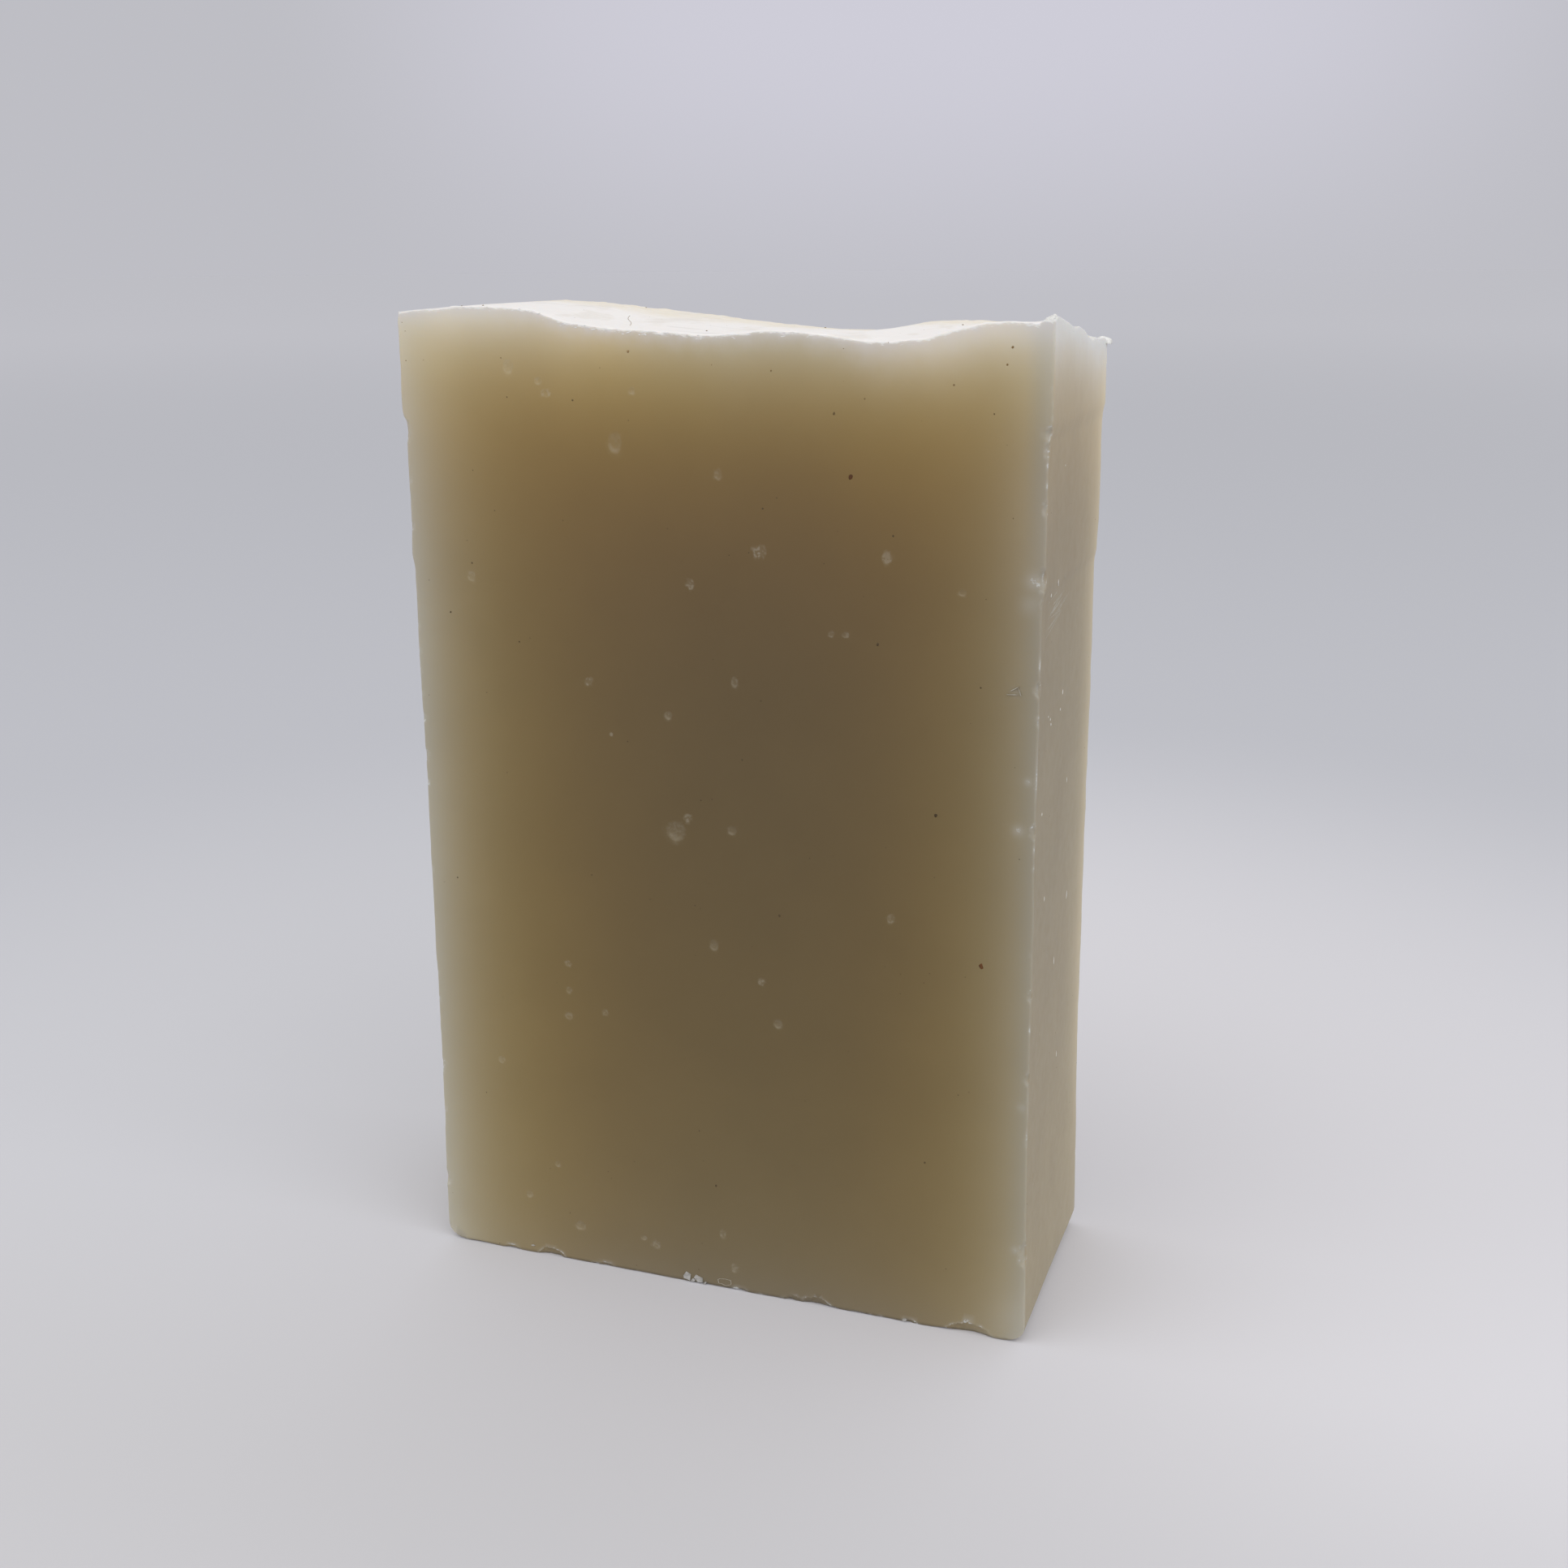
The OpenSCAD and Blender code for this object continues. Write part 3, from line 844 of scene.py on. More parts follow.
def soap_finish():
    finish = Finish("soap")
    colour = soap_glow(finish)
    cloud = [(0.3, (0.95, 0.95, 0.95, 1)), (0.7, (1, 1, 1, 1))]
    cloud = finish.node("ShaderNodeValToRGB", {"stops": cloud}, {0: finish.grain(9, 2.0)})
    colour = finish.mix(1.0, colour, cloud, "MULTIPLY")
    wall = finish.kept("wall")
    colour = finish.mix(wall, colour, WALL_TINT, "MULTIPLY")
    # Painted light: near the right edge of the cut faces, most higher up, the light let in there gives
    # the soap a cooler, lilac cast.
    lit_strip = (1.0 - wall) * finish.x.ease(25.5, 27.2) * (finish.z.ease(66.0, 76.0) * 0.65 + 0.35)
    colour = finish.mix(lit_strip, colour, LIT_STRIP_TINT, "MULTIPLY")
    # Painted shade: the soap is darker within a fraction of a millimetre of the floor, as in the shaded
    # gap under the foot's edge.
    colour = finish.mix(finish.z.ease(0.4, 0.05), colour, FOOT_SHADE, "MULTIPLY")
    blotch = finish.grain(4, 3.0, (1, 1, 0.45)).ease(0.35, 0.65) * wall
    colour = finish.mix(blotch * 0.5, colour, BLOTCH_TINT, "MULTIPLY")
    # Painted light: the side walls are paler towards the back cut, where light from behind comes
    # through, with a thin pale grey line of it right at that edge.
    back = (HALF_T - finish.y).at_least(0.0)
    lit_back = wall * back.fall(3.2) * finish.z.ease(-12.0, 32.0)
    colour = finish.mix(lit_back, colour, BACK_GLOW, "ADD")
    colour = finish.mix(wall * back.fall(0.35) * 0.45, colour, BACK_RIM_LIGHT)
    # Painted light: a ragged pale grey band just under the poured top, where the thin rim is lit
    # through; it reaches further down towards both ends.
    ragged = (finish.kept("depth") + finish.grain(1.4) * 0.9 - 0.45).at_least(0.0)
    ends = finish.x.ease(-8.0, -20.0) * 0.25 + finish.x.ease(8.0, 14.0) * 0.5
    ragged = ragged * (1.0 - ends)
    colour = finish.mix(ragged.fall(0.65) * 0.85, colour, LIT_RIM_GREY)
    torn = finish.kept("frost") * (0.85 + finish.grain(0.9) * 0.3)
    colour = finish.mix(torn, colour, TORN_WHITE)
    fleck = finish.grain(0.15, 2.0)
    film = finish.grain(0.22, 3.0, (0.3, 1, 1)) + finish.kept("depth").fall(0.35) * 0.5
    colour = finish.mix(film.ease(0.78, 0.9) * 0.8, colour, FILM_WHITE)
    pale = finish.kept("pale")
    crumbs = finish.grain(0.3, 1.5).ease(0.46, 0.6) * 0.22 + 0.06
    colour = finish.mix(pale * crumbs, colour, CRUMB_CREAM)
    # Painted highlight on the lower lips of clean bowls, over their own faint pale.
    colour = finish.mix(finish.kept("lip") * 0.36, colour, BOWL_LIT_LIP_CREAM)
    wear = finish.kept("wear")
    scuffed = (wear * 1.3 + fleck - 1.05).ease(0.0, 0.4).at_least(wear * 0.45)
    colour = finish.mix(scuffed * 0.75, colour, SCUFF_GREY)
    rough = 0.42 + 0.16 * finish.grain(1.1)
    normal = finish.bump(finish.grain(2.2, 2.0), 0.012)
    normal = finish.bump(finish.grain(0.5), 0.003, 1.0, normal)
    normal = finish.bump(fleck * pale.at_least(torn * 0.5), 0.03, 1.0, normal)
    return finish.end(
        Base_Color=colour, Roughness=rough, Normal=normal, IOR=1.45, Specular_IOR_Level=0.35,
        Subsurface_Weight=0.2, Subsurface_Radius=(1.0, 0.7, 0.4), Subsurface_Scale=0.8 * MM,
    )


soap = soap_finish()
bar.data.materials.append(soap)
print("soap:", len(soap.node_tree.nodes), "nodes")


# %% [markdown]
# ## The dry skin of the top
# Where the poured surface met the air it dried to a white bloom. It is matt, so it must not
# mirror the room, not even in a view along it. Cream soap shows through where the bloom is thin,
# more towards the back.

# %% The skin's finish
BLOOM, CREAM = (0.78, 0.75, 0.735, 1), (0.73, 0.67, 0.57, 1)
DAMP_CREAM = (0.66, 0.615, 0.56, 1)
POWDER_WHITE = (0.81, 0.79, 0.775, 1)
CREASE_SHADE_GREY = (0.58, 0.55, 0.53, 1)
RIM_WHITE = (0.66, 0.655, 0.635, 1)
FRONT_LEFT_GREY = (0.60, 0.59, 0.575, 1)


def skin_finish():
    finish = Finish("poured_skin")
    thin = finish.y.ease(-2.0, HALF_T) * 0.5 + finish.grain(7, 2.0) * 0.5
    colour = finish.mix(thin.ease(0.3, 0.75), BLOOM, CREAM)
    damp = finish.grain(3.2, 3.0, (1, 0.4, 1)).ease(0.53, 0.66)
    colour = finish.mix(damp * 0.5, colour, DAMP_CREAM)
    powder = finish.grain(0.5, 4.0, (0.4, 1, 1)).ease(0.42, 0.7)
    colour = finish.mix(powder * 0.5, colour, POWDER_WHITE)
    # Painted shade: faint long creases across the skin, drawn only as grey streaks of shade.
    crease_shade = finish.grain(2.5, 2.0, (0.25, 1, 1)).ease(0.36, 0.28)
    colour = finish.mix(crease_shade * 0.35, colour, CREASE_SHADE_GREY)
    torn = (finish.kept("frost") + finish.grain(0.9, 3.0) - 0.5).ease(0.4, 0.62)
    colour = finish.mix(torn, colour, RIM_WHITE)
    # The skin is greyer at the front left end of the top.
    front_left_end = finish.x.ease(-20.5, -26.0) * finish.y.ease(-6.0, -10.0)
    colour = finish.mix(front_left_end * 0.8, colour, FRONT_LEFT_GREY)
    rough = 0.7 + 0.2 * finish.grain(0.8)
    normal = finish.bump(finish.grain(1.2, 4.0, (0.5, 1, 1)), 0.05)
    normal = finish.bump(finish.grain(0.2), 0.01, 1.0, normal)
    return finish.end(
        Base_Color=colour, Roughness=rough, Normal=normal, IOR=1.45, Specular_IOR_Level=0.1,
        Subsurface_Weight=0.2, Subsurface_Radius=(1.0, 0.8, 0.6), Subsurface_Scale=0.6 * MM,
    )


skin = skin_finish()
bar.data.materials.append(skin)
print("skin:", len(skin.node_tree.nodes), "nodes")


# %% [markdown]
# ## Finishes of the small things
# Bits of dried plant are dark, and the two largest are reddish. The others look lighter near the
# top, where the soap round them is lit through from above. Shavings of soap dry to a frosty white,
# thin flakes to a clear grey, and a scratch shows paler soap.

# %% Speck and shaving finishes
LIT_FROM, LIT_FULL = 74.0, 84.0  # heights between which a speck gets its lighter colour


def plain_finish(name, one, two, rough, lit=1.0):
    """A finish between two colours, made lit times as light near the top."""
    finish = Finish(name)
    colour = finish.mix(finish.grain(0.35, 2.0).ease(0.35, 0.65), one, two)
    near_top = finish.z.ease(LIT_FROM, LIT_FULL)
    colour = finish.mix(near_top, colour, (lit, lit, lit, 1), "MULTIPLY")
    normal = finish.bump(finish.grain(0.15), 0.02)
    return finish.end(Base_Color=colour, Roughness=rough, Normal=normal, Specular_IOR_Level=0.3)


speck_brown = plain_finish("plant_speck", (0.055, 0.02, 0.004, 1), (0.12, 0.045, 0.01, 1), 0.6)
speck_olive = plain_finish("fine_speck", (0.05, 0.031, 0.011, 1), (0.09, 0.06, 0.026, 1), 0.6, 3.0)
frost = plain_finish("dry_shaving", (0.66, 0.655, 0.63, 1), (0.77, 0.765, 0.745, 1), 0.5)
flake_grey = plain_finish("clear_flake", (0.31, 0.30, 0.28, 1), (0.44, 0.43, 0.41, 1), 0.35)
scratch_pale = plain_finish("scratched_soap", (0.34, 0.31, 0.25, 1), (0.43, 0.40, 0.34, 1), 0.5)
print("five finishes for small things")

# %% [markdown]
# ## Lumps on points
# Specks, crumbs and slivers of soap are all the same shape at heart: a small jagged lump, more or
# less drawn out. So one tree of geometry nodes makes them all. It puts a lump on every point it
# is given, with the size and turn that the point carries, and roughens it by a seeded noise.


# %% The tree of lumps
def lump_tree(material):
    """Geometry nodes that put a jagged lump on each point of a mesh."""
    tree = bpy.data.node_groups.new("lumps_" + material.name, "GeometryNodeTree")
    wanted = [("Geometry", "Geometry"), ("Jaggedness", "Float"), ("Seed", "Float")]
    for name, kind in wanted:
        tree.interface.new_socket(name, in_out="INPUT", socket_type="NodeSocket" + kind)
    tree.interface.new_socket("Geometry", in_out="OUTPUT", socket_type="NodeSocketGeometry")
    recipe = Recipe(tree)
    given = [recipe.node("NodeGroupInput", {}, {}, number) for number in range(len(wanted))]
    lump = recipe.node("GeometryNodeMeshIcoSphere", {}, {"Radius": 1.0, "Subdivisions": 2})
    vector = {"data_type": "FLOAT_VECTOR"}
    size = recipe.node("GeometryNodeInputNamedAttribute", vector, {"Name": "size"})
    turn = recipe.node("GeometryNodeInputNamedAttribute", vector, {"Name": "turn"})
    sockets = {"Points": given[0], "Instance": lump, "Rotation": turn, "Scale": size}
    placed = recipe.node("GeometryNodeInstanceOnPoints", {}, sockets)
    plain = recipe.node("GeometryNodeRealizeInstances", {}, {"Geometry": placed})
    sockets = {"W": given[2], "Scale": 1 / (0.25 * MM), "Detail": 1.0}
    wild = recipe.node("ShaderNodeTexNoise", {"noise_dimensions": "4D"}, sockets, "Color")
    middle = (0.5, 0.5, 0.5)
    wild = recipe.node("ShaderNodeVectorMath", {"operation": "SUBTRACT"}, {0: wild, 1: middle})
    least = recipe.node("GeometryNodeInputNamedAttribute", {"data_type": "FLOAT"}, {"Name": "least"})
    sockets = {0: wild, "Scale": least * given[1]}
    offset = recipe.node("ShaderNodeVectorMath", {"operation": "SCALE"}, sockets)
    moved = recipe.node("GeometryNodeSetPosition", {}, {"Geometry": plain, "Offset": offset})
    painted = recipe.node("GeometryNodeSetMaterial", {}, {"Geometry": moved, "Material": material})
    recipe.node("NodeGroupOutput", {}, {0: painted})
    return tree


def grow(seeds, tree, name, settings):
    """Runs a tree on an object, and returns what it makes as a plain mesh object."""
    modifier = seeds.modifiers.new("tree", "NODES")
    modifier.node_group = tree
    for item in tree.interface.items_tree:
        if item.in_out == "INPUT" and item.name in settings:
            modifier[item.identifier] = settings[item.name]
    bpy.context.view_layer.update()
    shown = seeds.evaluated_get(bpy.context.evaluated_depsgraph_get())
    mesh = bpy.data.meshes.new_from_object(shown)
    bpy.data.objects.remove(seeds)
    mesh.name = name
    mesh.shade_smooth()
    made = bpy.data.objects.new(name, mesh)
    bpy.context.scene.collection.objects.link(made)
    return made


def lumps(name, marks, material, jaggedness, seed):
    """Lumps from marks, each a place, three half sizes in mm and a turn."""
    places, sizes, turns = (np.array(part, float) for part in zip(*marks))
    seeds = make_mesh(name + "_points", places, [])
    keep_numbers(seeds, "size", sizes * MM, "FLOAT_VECTOR")
    keep_numbers(seeds, "turn", turns, "FLOAT_VECTOR")
    keep_numbers(seeds, "least", sizes.min(1) * MM)
    settings = {"Jaggedness": jaggedness, "Seed": float(seed)}
    return grow(seeds, lump_tree(material), name, settings)


print("lump tree ready")

# %% [markdown]
# ## Large specks
# The specks that a person would notice keep their own places, picked like those of the bubbles.
# Each lies three quarters sunk in the cut. A few lie on the poured top, and one short fibre stands
# up from it, made as a chain of lumps. The back cut gets some at random places.

# %% Large specks
RED = 2  # how many of the specks are reddish, from the first on
SPECKS = [  # across, up, radius, drawn out
    (12, 73.7, 0.2, 1.4), (23.3, 34.1, 0.2, 1.4), (19.3, 46.6, 0.15, 1.2), (2.6, 49.8, 0.1, 1),
    (5.8, 36.4, 0.11, 1.4), (24.7, 83.9, 0.11, 1), (24.3, 82.6, 0.1, 1), (20.2, 81, 0.09, 1),
    (-6.8, 83.1, 0.12, 1.2), (-11.9, 79.1, 0.1, 1), (18.8, 15.6, 0.09, 1), (-0.4, 10.1, 0.12, 1.2),
    (14.3, 60.4, 0.11, 1.3), (15.5, 69.2, 0.08, 1), (22.8, 57.5, 0.09, 1), (-1.9, 36.4, 0.08, 1),
    (5.4, 81.8, 0.08, 1), (13.1, 79.8, 0.08, 1), (23.4, 78.9, 0.07, 1), (10.6, 78.6, 0.1, 1.5),
    (-18.3, 82.4, 0.08, 1), (-17.9, 79.2, 0.08, 1), (4.6, 70.9, 0.09, 1), (-21.9, 65.1, 0.09, 1),
    (-17.7, 58.5, 0.08, 1), (4.3, 55, 0.08, 1), (-24.2, 60.7, 0.09, 1), (-11.6, 38.1, 0.07, 1),
    (-1.2, 45.9, 0.07, 1), (-7.8, 50.5, 0.08, 1), (-24.9, 36.4, 0.08, 1), (-1.9, 15.2, 0.08, 1),
    (5.8, 71.8, 0.06, 1), (8.5, 41.8, 0.06, 1), (-19.5, 69.7, 0.05, 1),
]
TOP_SPECKS = [(-22.5, -9.6), (-20.6, -9.4), (-14.5, 10.4), (3, 9.8), (-2, -6), (17, 4)]
FIBRE_AT, FIBRE_LONG, FIBRE_BEND = (-8.4, -7.0), 0.75, 0.13
BACK_SPECKS = 18
FLATNESS = 0.6  # how thick a speck is, as a share of how wide
SUNK = 0.5  # how far in its middle lies, as a share of half its thickness
DOWN = (0, 0, -1)


def above(across, through):
    """Where a line straight down meets the poured top."""
    return on_bar((across, through, BAR_H + 5), DOWN)


def in_cut(cut, across, up, radius, drawn=1, tilt=0):
    """The mark of a speck that lies in the front cut (-1) or the back one (1)."""
    thick = radius * FLATNESS
    place = (across, cut * (HALF_T - SUNK * radius * FLATNESS), up)
    return place, (radius, thick, radius * drawn), (0, tilt, 0)


rng = np.random.default_rng(31)
marks = []
for across, up, radius, drawn in SPECKS:
    marks.append(in_cut(-1, across, up, radius, drawn, rng.uniform(-0.5, 0.5)))
for across, through in TOP_SPECKS:
    marks.append((above(across, through), (0.09, 0.09, 0.06), (0, 0, 0)))
root = above(*FIBRE_AT)
for share in np.linspace(0, 1, 9):
    bend = FIBRE_BEND * math.sin(share * math.tau)
    place = root + (bend, 0, FIBRE_LONG * share)
    marks.append((place, (0.02, 0.02, 0.08), (0, 0.9 * math.cos(share * math.tau), 0)))
for _ in range(BACK_SPECKS):
    marks.append(in_cut(1, *rng.uniform((-25, 5, 0.06), (25, 80, 0.13))))
red_specks = lumps("plant_specks", marks[:RED], speck_brown, 1.6, 3)
brown_specks = lumps("brown_specks", marks[RED:], speck_olive, 1.3, 3)
print(len(marks), "large specks")

# %% [markdown]
# ## Fine specks
# The fine specks went wherever the pour took them. A second tree scatters them over the bar's own
# surface, so they lie on every side, and turns each to lie flat.


# %% The tree of fine specks
def scatter_tree(material):
    """Geometry nodes that scatter flat lumps over a surface."""
    tree = bpy.data.node_groups.new("scatter", "GeometryNodeTree")
    wanted = [("Geometry", "Geometry"), ("Density", "Float"), ("Smallest", "Float"),
              ("Largest", "Float"), ("Sunk", "Float"), ("Seed", "Int")]
    for name, kind in wanted:
        tree.interface.new_socket(name, in_out="INPUT", socket_type="NodeSocket" + kind)
    tree.interface.new_socket("Geometry", in_out="OUTPUT", socket_type="NodeSocketGeometry")
    recipe = Recipe(tree)
    given = {name: recipe.node("NodeGroupInput", {}, {}, number)
             for number, (name, _) in enumerate(wanted)}
    sockets = {"Mesh": given["Geometry"], "Density": given["Density"], "Seed": given["Seed"]}
    points = recipe.node("GeometryNodeDistributePointsOnFaces", {}, sockets)
    turn, normal = points.other("Rotation"), points.other("Normal")
    size = recipe.node("FunctionNodeRandomValue", {"data_type": "FLOAT"},
                       {2: given["Smallest"], 3: given["Largest"], "Seed": given["Seed"]}, 1)
    depth = recipe.node("ShaderNodeVectorMath", {"operation": "SCALE"},
                        {0: normal, "Scale": size * given["Sunk"] * -1.0})
    points = recipe.node("GeometryNodeSetPosition", {}, {"Geometry": points, "Offset": depth})
    lump = recipe.node("GeometryNodeMeshIcoSphere", {}, {"Radius": 1.0, "Subdivisions": 1})
    scale = recipe.node("ShaderNodeCombineXYZ", {}, {0: size, 1: size, 2: size * 0.6})
    sockets = {"Points": points, "Instance": lump, "Rotation": turn, "Scale": scale}
    placed = recipe.node("GeometryNodeInstanceOnPoints", {}, sockets)
    plain = recipe.node("GeometryNodeRealizeInstances", {}, {"Geometry": placed})
    painted = recipe.node("GeometryNodeSetMaterial", {}, {"Geometry": plain, "Material": material})
    recipe.node("NodeGroupOutput", {}, {0: painted})
    return tree


surface = bpy.data.objects.new("surface", bar.data.copy())
bpy.context.scene.collection.objects.link(surface)
settings = {
    "Density": 17000.0, "Smallest": 0.04 * MM, "Largest": 0.08 * MM, "Sunk": 0.35, "Seed": 4}
fine_specks = grow(surface, scatter_tree(speck_olive), "fine_specks", settings)
print(fine_specks.name, len(fine_specks.data.polygons), "faces")

# %% [markdown]
# ## Shavings and crumbs
# The knife left slivers of soap: flat plates at the foot's front edge and by the front right edge,
# crumbs along the rims and short scratches raised on the side walls. The plates are thin prisms
# with jagged outlines, and one of them is no more than a rim. The rest are lumps, some of them
# drawn out to slivers.


# %% Plates of soap
def plates(name, marks, material, seed):
    """Thin jagged plates on the front cut, each across, up, half width, half height, turn, hollow."""
    rng = np.random.default_rng(seed)
    corners, polygons = [], []
    for across, up, wide, tall, turn, hollow in marks:
        sides = 9 if hollow else 5
        angle = (np.arange(sides) + rng.uniform(-0.3, 0.3, sides)) / sides * math.tau
        reach = rng.uniform(0.75, 1.15, sides)
        x, z = wide * reach * np.cos(angle), tall * reach * np.sin(angle)
        x, z = x * math.cos(turn) - z * math.sin(turn), x * math.sin(turn) + z * math.cos(turn)
        thick = PLATE * (0.25 if hollow else 1)
        loops = [(1, 0.02), (0.97, -thick)] + [(0.91, -thick), (0.87, 0.02)] * hollow
        base = len(corners)
        for share, out in loops:
            for i in range(sides):
                corners.append((across + share * x[i], out - HALF_T, max(up + share * z[i], 0)))
        turns = len(loops) if hollow else 1
        for k in range(turns):
            one, two = base + k * sides, base + (k + 1) % len(loops) * sides
            for i in range(sides):
                j = (i + 1) % sides
                polygons.append((one + i, one + j, two + j, two + i))
        if not hollow:
            polygons.append(tuple(base + i for i in reversed(range(sides))))
            polygons.append(tuple(base + sides + i for i in range(sides)))
    made = make_mesh(name, corners, polygons)
    made.data.materials.append(material)
    return made


PLATE = 0.1  # how far a full plate stands out from the cut
FLAKES = [  # across, up, half width, half height, turn, hollow
    (-3.35, 0.55, 0.38, 0.48, 0.3, False), (-2.15, 0.45, 0.5, 0.4, -0.4, False),
    (-2.75, 0.26, 0.26, 0.18, 0.4, False), (-1.6, 0.16, 0.22, 0.12, 0.8, False),
    (17.2, 0.22, 0.24, 0.15, 0.2, False), (-18.9, 0.75, 0.2, 0.05, 0.1, False),
]
RIMS = [
    (0.3, 0.62, 0.68, 0.36, 0.1, True), (25.5, 57.6, 0.5, 0.035, 0.5, False),
    (25.95, 57.35, 0.35, 0.035, -1.2, False), (25.35, 57.15, 0.42, 0.03, 0.05, False),
]
flakes = plates("foot_flakes", FLAKES, flake_grey, 40)
flake_rims = plates("flake_rims", RIMS, scratch_pale, 44)
print(len(flakes.data.polygons) + len(flake_rims.data.polygons), "faces")

# %% Crumbs at the rims
rng = np.random.default_rng(41)
marks = []
for _ in range(34):
    across = rng.normal(-7, 8)
    below = abs(rng.normal(0.1, 0.25))
    size = rng.uniform(0.025, 0.06)
    if abs(across) < HALF_W - 1:
        up = float(top_z(across, -HALF_T)) - below
        shape = (size * rng.uniform(1, 5), size * 0.35, size * 0.8)
        marks.append(((across, -HALF_T, up), shape, (0, rng.uniform(-0.4, 0.4), 0)))
for _ in range(26):
    y = rng.uniform(-HALF_T + 0.3, HALF_T - 0.4)
    x = HALF_W - abs(rng.normal(0, 0.5))
    size = rng.uniform(0.03, 0.09)
    place = above(x, y)
    marks.append((place, (size * 1.3, size * 1.6, size * 0.8), (0, 0, rng.uniform(0, 3))))
for _ in range(70):
    y = -HALF_T + 16 * rng.uniform() ** 1.2 + 0.1
    place = above(HALF_W - rng.uniform(-0.2, 0.5), y)
    shape = rng.uniform(0.05, 0.15) * np.array((1, rng.uniform(1, 1.8), rng.uniform(0.7, 1.2)))
    marks.append((place, shape, (0, 0, rng.uniform(0, 3))))
crumbs = lumps("soap_crumbs", marks, frost, 1.5, 5)
print(crumbs.name, len(crumbs.data.polygons), "faces")

# %% Nicks and scratches on the side
rng = np.random.default_rng(43)
SIDE_NICKS = [  # through, up, half width, half length
    (-5.6, 65.3, 0.07, 0.36), (-7.7, 64.6, 0.08, 0.2), (-1.8, 55.4, 0.06, 0.2),
    (-2.6, 54.1, 0.05, 0.12), (-6.2, 53.7, 0.09, 0.12), (-6.5, 54.2, 0.05, 0.12),
    (-7.3, 54.6, 0.04, 0.1), (3, 36, 0.06, 0.4), (-6.9, 39, 0.05, 0.22), (-1.9, 31.7, 0.05, 0.35),
    (0.5, 22, 0.04, 0.3), (1.2, 47, 0.04, 0.25), (-4.5, 74.4, 0.08, 0.08), (-8.6, 46.8, 0.06, 0.14),
]


def on_side_wall(hand, through, up):
    """The point of the worn wall at a place, on the right (1) or the left (-1)."""
    return on_bar((hand * (HALF_W + 5), through, up), (-hand, 0, 0))


marks = [
    (on_side_wall(1, through, up), (0.03, wide, half), (rng.uniform(-0.3, 0.1), 0, 0))
    for through, up, wide, half in SIDE_NICKS
]
for _ in range(9):
    place = on_side_wall(-1, *rng.uniform((-9, 8), (9, 78)))
    shape = (0.03, rng.uniform(0.04, 0.09), rng.uniform(0.1, 0.35))
    marks.append((place, shape, (rng.uniform(-0.4, 0.4), 0, 0)))
nicks_white = lumps("side_nicks", marks, frost, 1.2, 6)
marks = []
for _ in range(14):
    place = on_side_wall(1, *rng.normal((-5, 63.2), (1.8, 0.5)))
    marks.append((place, (0.008, 0.025, rng.uniform(1.0, 3.2)), (rng.normal(-1.46, 0.05), 0, 0)))
for hand in (1, -1):
    for _ in range(14):
        place = on_side_wall(hand, *rng.uniform((-9, 4), (9, 80)))
        marks.append((place, (0.008, 0.025, rng.uniform(0.2, 0.9)), (rng.normal(0, 0.5), 0, 0)))
scratches = lumps("side_scratches", marks, scratch_pale, 0.8, 7)
print(len(nicks_white.data.polygons) + len(scratches.data.polygons), "faces")

# %% [markdown]
# ## The curl at the back corner
# Where the knife left the loaf it turned up a small shaving at the back right corner. It is a
# ribbon bent round in an arc, thinner at its free edge, made as a closed sheet and roughened by
# the same noise as the bar.

# %% The curl
CURL_R = 0.62
CURL_FROM, CURL_TO = 26.9, 28.2
CURL_START, CURL_TURN = math.radians(175), math.radians(172)
steps_round, steps_long = 26, 40
root = np.array([0, HALF_T - 0.35, float(top_z(HALF_W, HALF_T)) - 0.3])
outer, inner = [], []
for i in range(steps_round + 1):
    share = i / steps_round
    angle = CURL_START - CURL_TURN * share
    for j in range(steps_long + 1):
        x = CURL_FROM + (CURL_TO - CURL_FROM) * j / steps_long
        ends = math.sin(math.pi * min(max(0.9 * j / steps_long, 0.02), 0.98)) ** 0.6
        radius = CURL_R * (0.45 + 0.55 * ends)
        wall_here = (0.55 - 0.12 * share) * (1.1 - 0.3 * ends)
        for ring, r in ((outer, radius), (inner, radius - wall_here)):
            ring.append((x, root[1] + r * math.cos(angle), root[2] + r * math.sin(angle)))
curl_points = np.array(outer + inner)
for axis, seed in enumerate((51, 52, 53)):
    curl_points[:, axis] += 0.1 * noise(curl_points, 0.7, seed) + 0.04 * noise(curl_points, 0.3, seed)
wide = steps_long + 1
half_count = len(outer)
curl_faces = []
for i in range(steps_round):
    for j in range(steps_long):
        a, b = i * wide + j, (i + 1) * wide + j
        curl_faces.append((a, a + 1, b + 1, b))
        curl_faces.append((half_count + a, half_count + b, half_count + b + 1, half_count + a + 1))
rim_loop = (
    [j for j in range(steps_long)]
    + [i * wide + steps_long for i in range(steps_round)]
    + [steps_round * wide + j for j in range(steps_long, 0, -1)]
    + [i * wide for i in range(steps_round, 0, -1)]
)
for a, b in zip(rim_loop, rim_loop[1:] + rim_loop[:1]):
    curl_faces.append((a, half_count + a, half_count + b, b))
curl = make_mesh("rim_curl", curl_points, curl_faces)
curl.data.shade_smooth()
curl.data.materials.append(frost)
print(curl.name, len(curl.data.polygons), "faces")

# %% [markdown]
# ## Floor and light
# The bar stands on a pale floor that runs out to a pale room. The floor is a wide disc with a
# painted pool of light: its colour is lighter near the bar, most to the right and less in front,
# darkens a little further off, as paper does outside the pool of a lamp, and lightens again far
# off. The world gives even light from all round, and shows the eye a plain grey like the floor's
# far edge. Behind the bar a lighter patch lies over the far floor and the room above it.
# Two large soft lamps in front bring the cut face up to the level of the top.

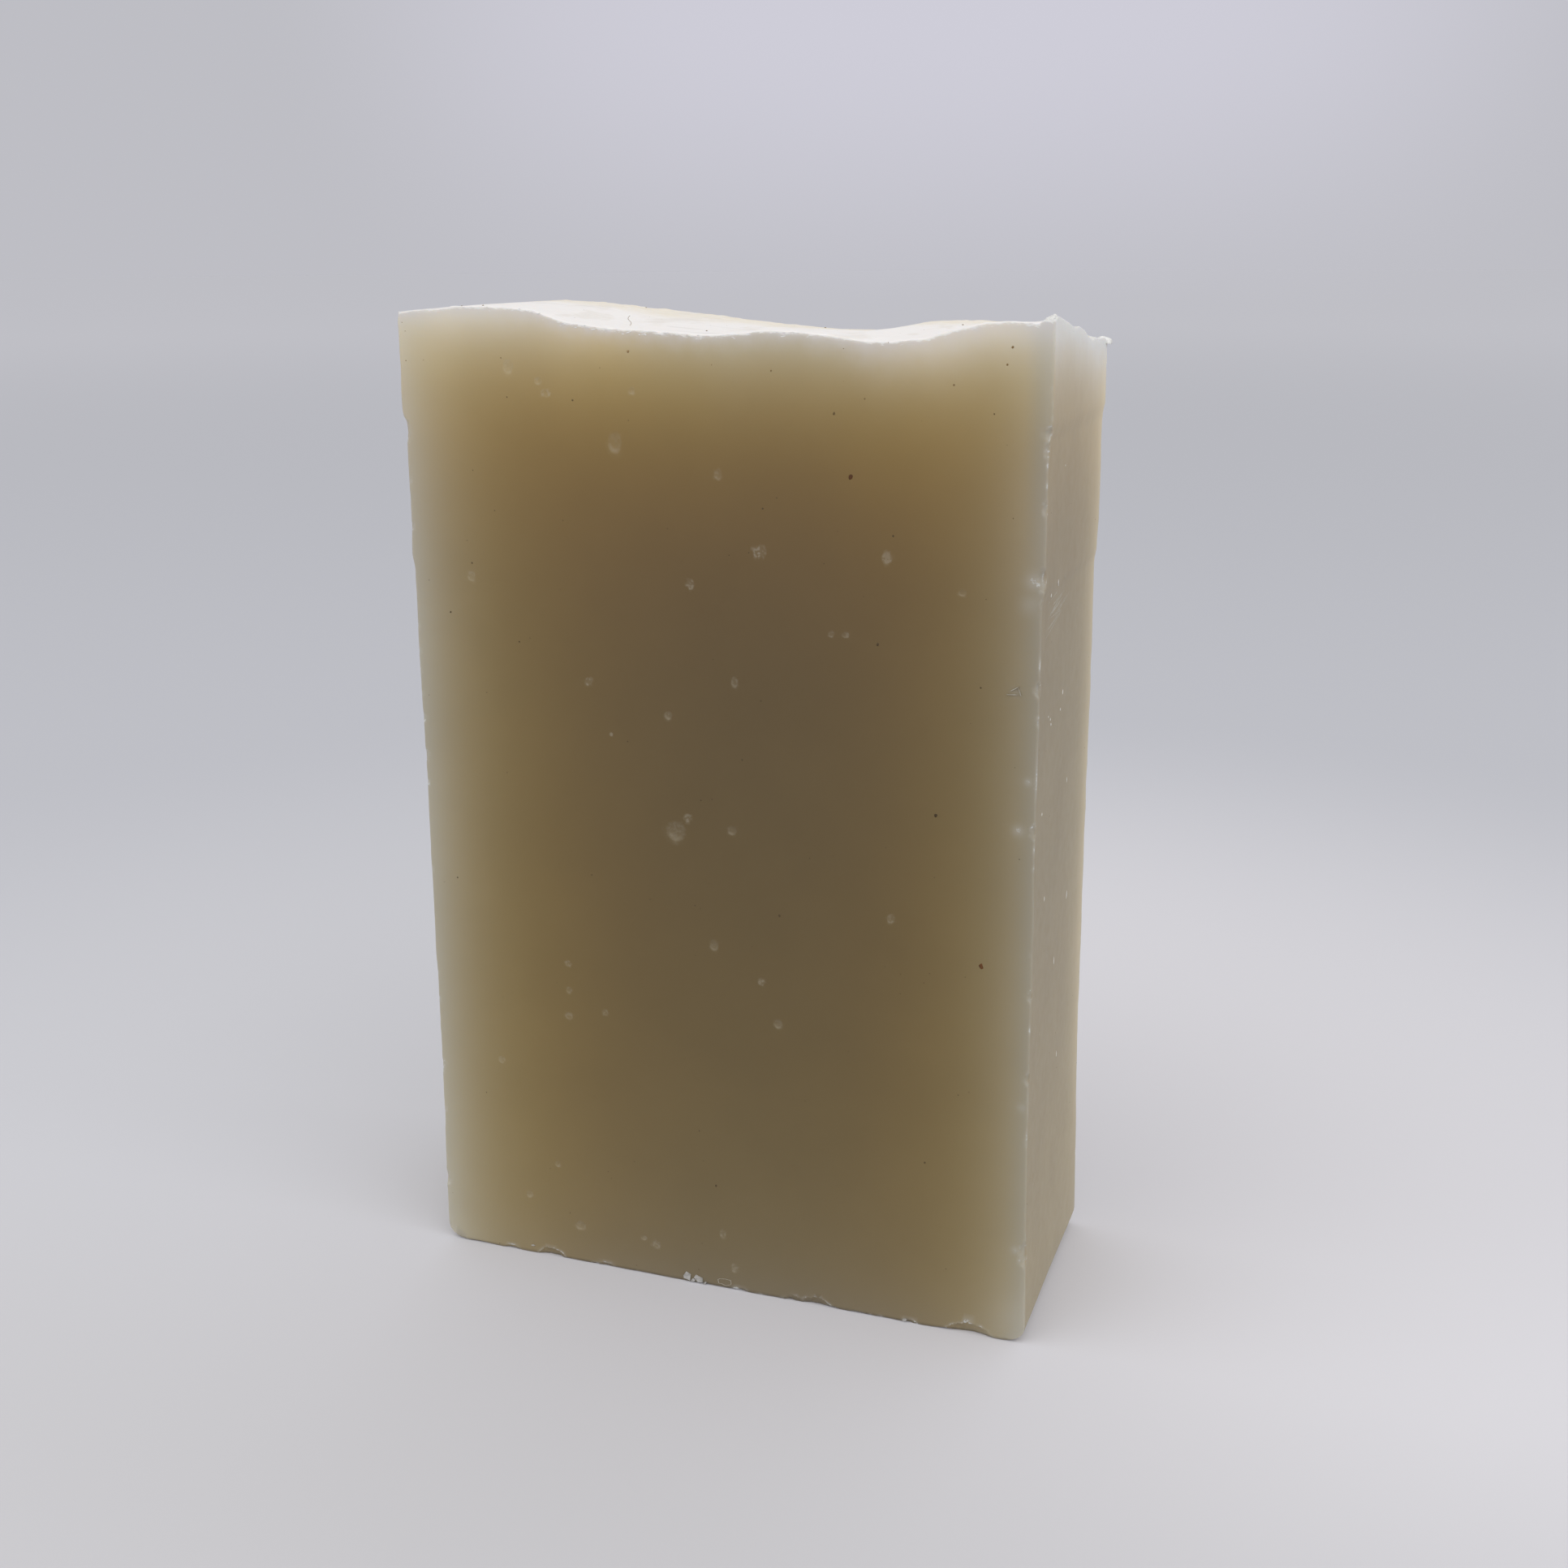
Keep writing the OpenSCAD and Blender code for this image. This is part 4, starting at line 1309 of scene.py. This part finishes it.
# %% Floor
FLOOR_R = 4000.0
LIT_WAY = (-0.25, 0.96, 0.12)  # where the backdrop is lighter, seen from the bar
LIT_SPREAD = (0.94, 1.0)  # the patch's rim and middle, as cosines from that direction
LIT_SHARE = 0.237  # how much of the patch the far floor takes up
ring = [(math.cos(a), math.sin(a)) for a in np.linspace(0, math.tau, 96, endpoint=False)]
floor = make_mesh("floor", [(FLOOR_R * x, FLOOR_R * y, 0) for x, y in ring], [tuple(range(96))])


def floor_finish():
    finish = Finish("paper")
    away = finish.node("ShaderNodeVectorMath", {"operation": "LENGTH"}, {0: finish.place}, 1)
    # Painted light: a pool lighter round the bar, most to the right and less in front, then a darker
    # ring.
    pool = finish.mix(finish.x.ease(-70.0, 15.0), (0.585, 0.585, 0.62, 1), (0.665, 0.655, 0.69, 1))
    pool = finish.mix(finish.y.ease(0.0, -55.0), pool, (0.57, 0.565, 0.59, 1))
    near = finish.mix(away.ease(0.06, 0.21), pool, (0.50, 0.505, 0.545, 1))
    colour = finish.mix(away.ease(0.3, 1.8), near, (0.605, 0.605, 0.65, 1))
    ahead = finish.node("ShaderNodeVectorMath", {"operation": "NORMALIZE"}, {0: finish.place})
    ahead = finish.node("ShaderNodeVectorMath", {"operation": "DOT_PRODUCT"}, {0: ahead, 1: LIT_WAY}, 1)
    lit = ahead.ease(*LIT_SPREAD) * away.ease(1.0, 4.0) * LIT_SHARE
    colour = finish.mix(lit, colour, (0.73, 0.72, 0.81, 1))
    return finish.end(Base_Color=colour, Roughness=0.9, Specular_IOR_Level=0.0)


floor.data.materials.append(floor_finish())
print("floor ready")


# %% Light
def area_light(name, at, aim, size, power):
    data = bpy.data.lights.new(name, "AREA")
    data.shape = "SQUARE"
    data.size = size
    data.energy = power
    lamp = bpy.data.objects.new(name, data)
    bpy.context.scene.collection.objects.link(lamp)
    lamp.location = at
    lamp.rotation_euler = (Vector(aim) - Vector(at)).to_track_quat("-Z", "Y").to_euler()


ROOM_LIGHT = 0.85
ROOM_GREY = (0.515, 0.515, 0.555, 1)
LIT_GREY = (0.62, 0.612, 0.69, 1)
world = bpy.data.worlds.new("room")
world.use_nodes = True
bpy.context.scene.world = world
recipe = Recipe(world.node_tree)
seen = recipe.node("ShaderNodeLightPath", {}, {}, "Is Camera Ray")
for kind in ("Is Glossy Ray", "Is Transmission Ray"):
    seen = seen.at_least(recipe.node("ShaderNodeLightPath", {}, {}, kind))
light = recipe.node("ShaderNodeBackground", {}, {"Color": (1, 1, 1, 1), "Strength": ROOM_LIGHT})
way = recipe.node("ShaderNodeTexCoord", {}, {}, "Generated")
towards = recipe.node("ShaderNodeVectorMath", {"operation": "DOT_PRODUCT"}, {0: way, 1: LIT_WAY}, 1)
upwards = recipe.node("ShaderNodeSeparateXYZ", {}, {0: way}, "Z")
patch_share = towards.ease(*LIT_SPREAD) * upwards.ease(-0.08, 0.1)
room = recipe.mix(patch_share, ROOM_GREY, LIT_GREY)
shown = recipe.node("ShaderNodeBackground", {}, {"Color": room, "Strength": 1.0})
mixed = recipe.node("ShaderNodeMixShader", {}, {0: seen, 1: light, 2: shown})
recipe.node("ShaderNodeOutputWorld", {}, {"Surface": mixed})
LAMP_AIM, LAMP_SIZE = (0, 0, 0.04), 0.9
LAMPS = [("left_lamp", (-0.45, -0.5, 0.55), 1.7), ("right_lamp", (0.6, -0.35, 0.5), 2.45)]
for name, at, power in LAMPS:
    area_light(name, at, LAMP_AIM, LAMP_SIZE, power)
bpy.context.scene.view_settings.view_transform = "Standard"
print("lights are set")

# %% [markdown]
# ## Riding on the frame
# The worn bar stands for the solid, and the small things ride with it.

# %% Riding and ending
small = (red_specks, brown_specks, fine_specks, flakes, flake_rims, crumbs, nicks_white, scratches)
for piece in (bar, curl, *small):
    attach(piece, "root")
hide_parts("soap_bar")
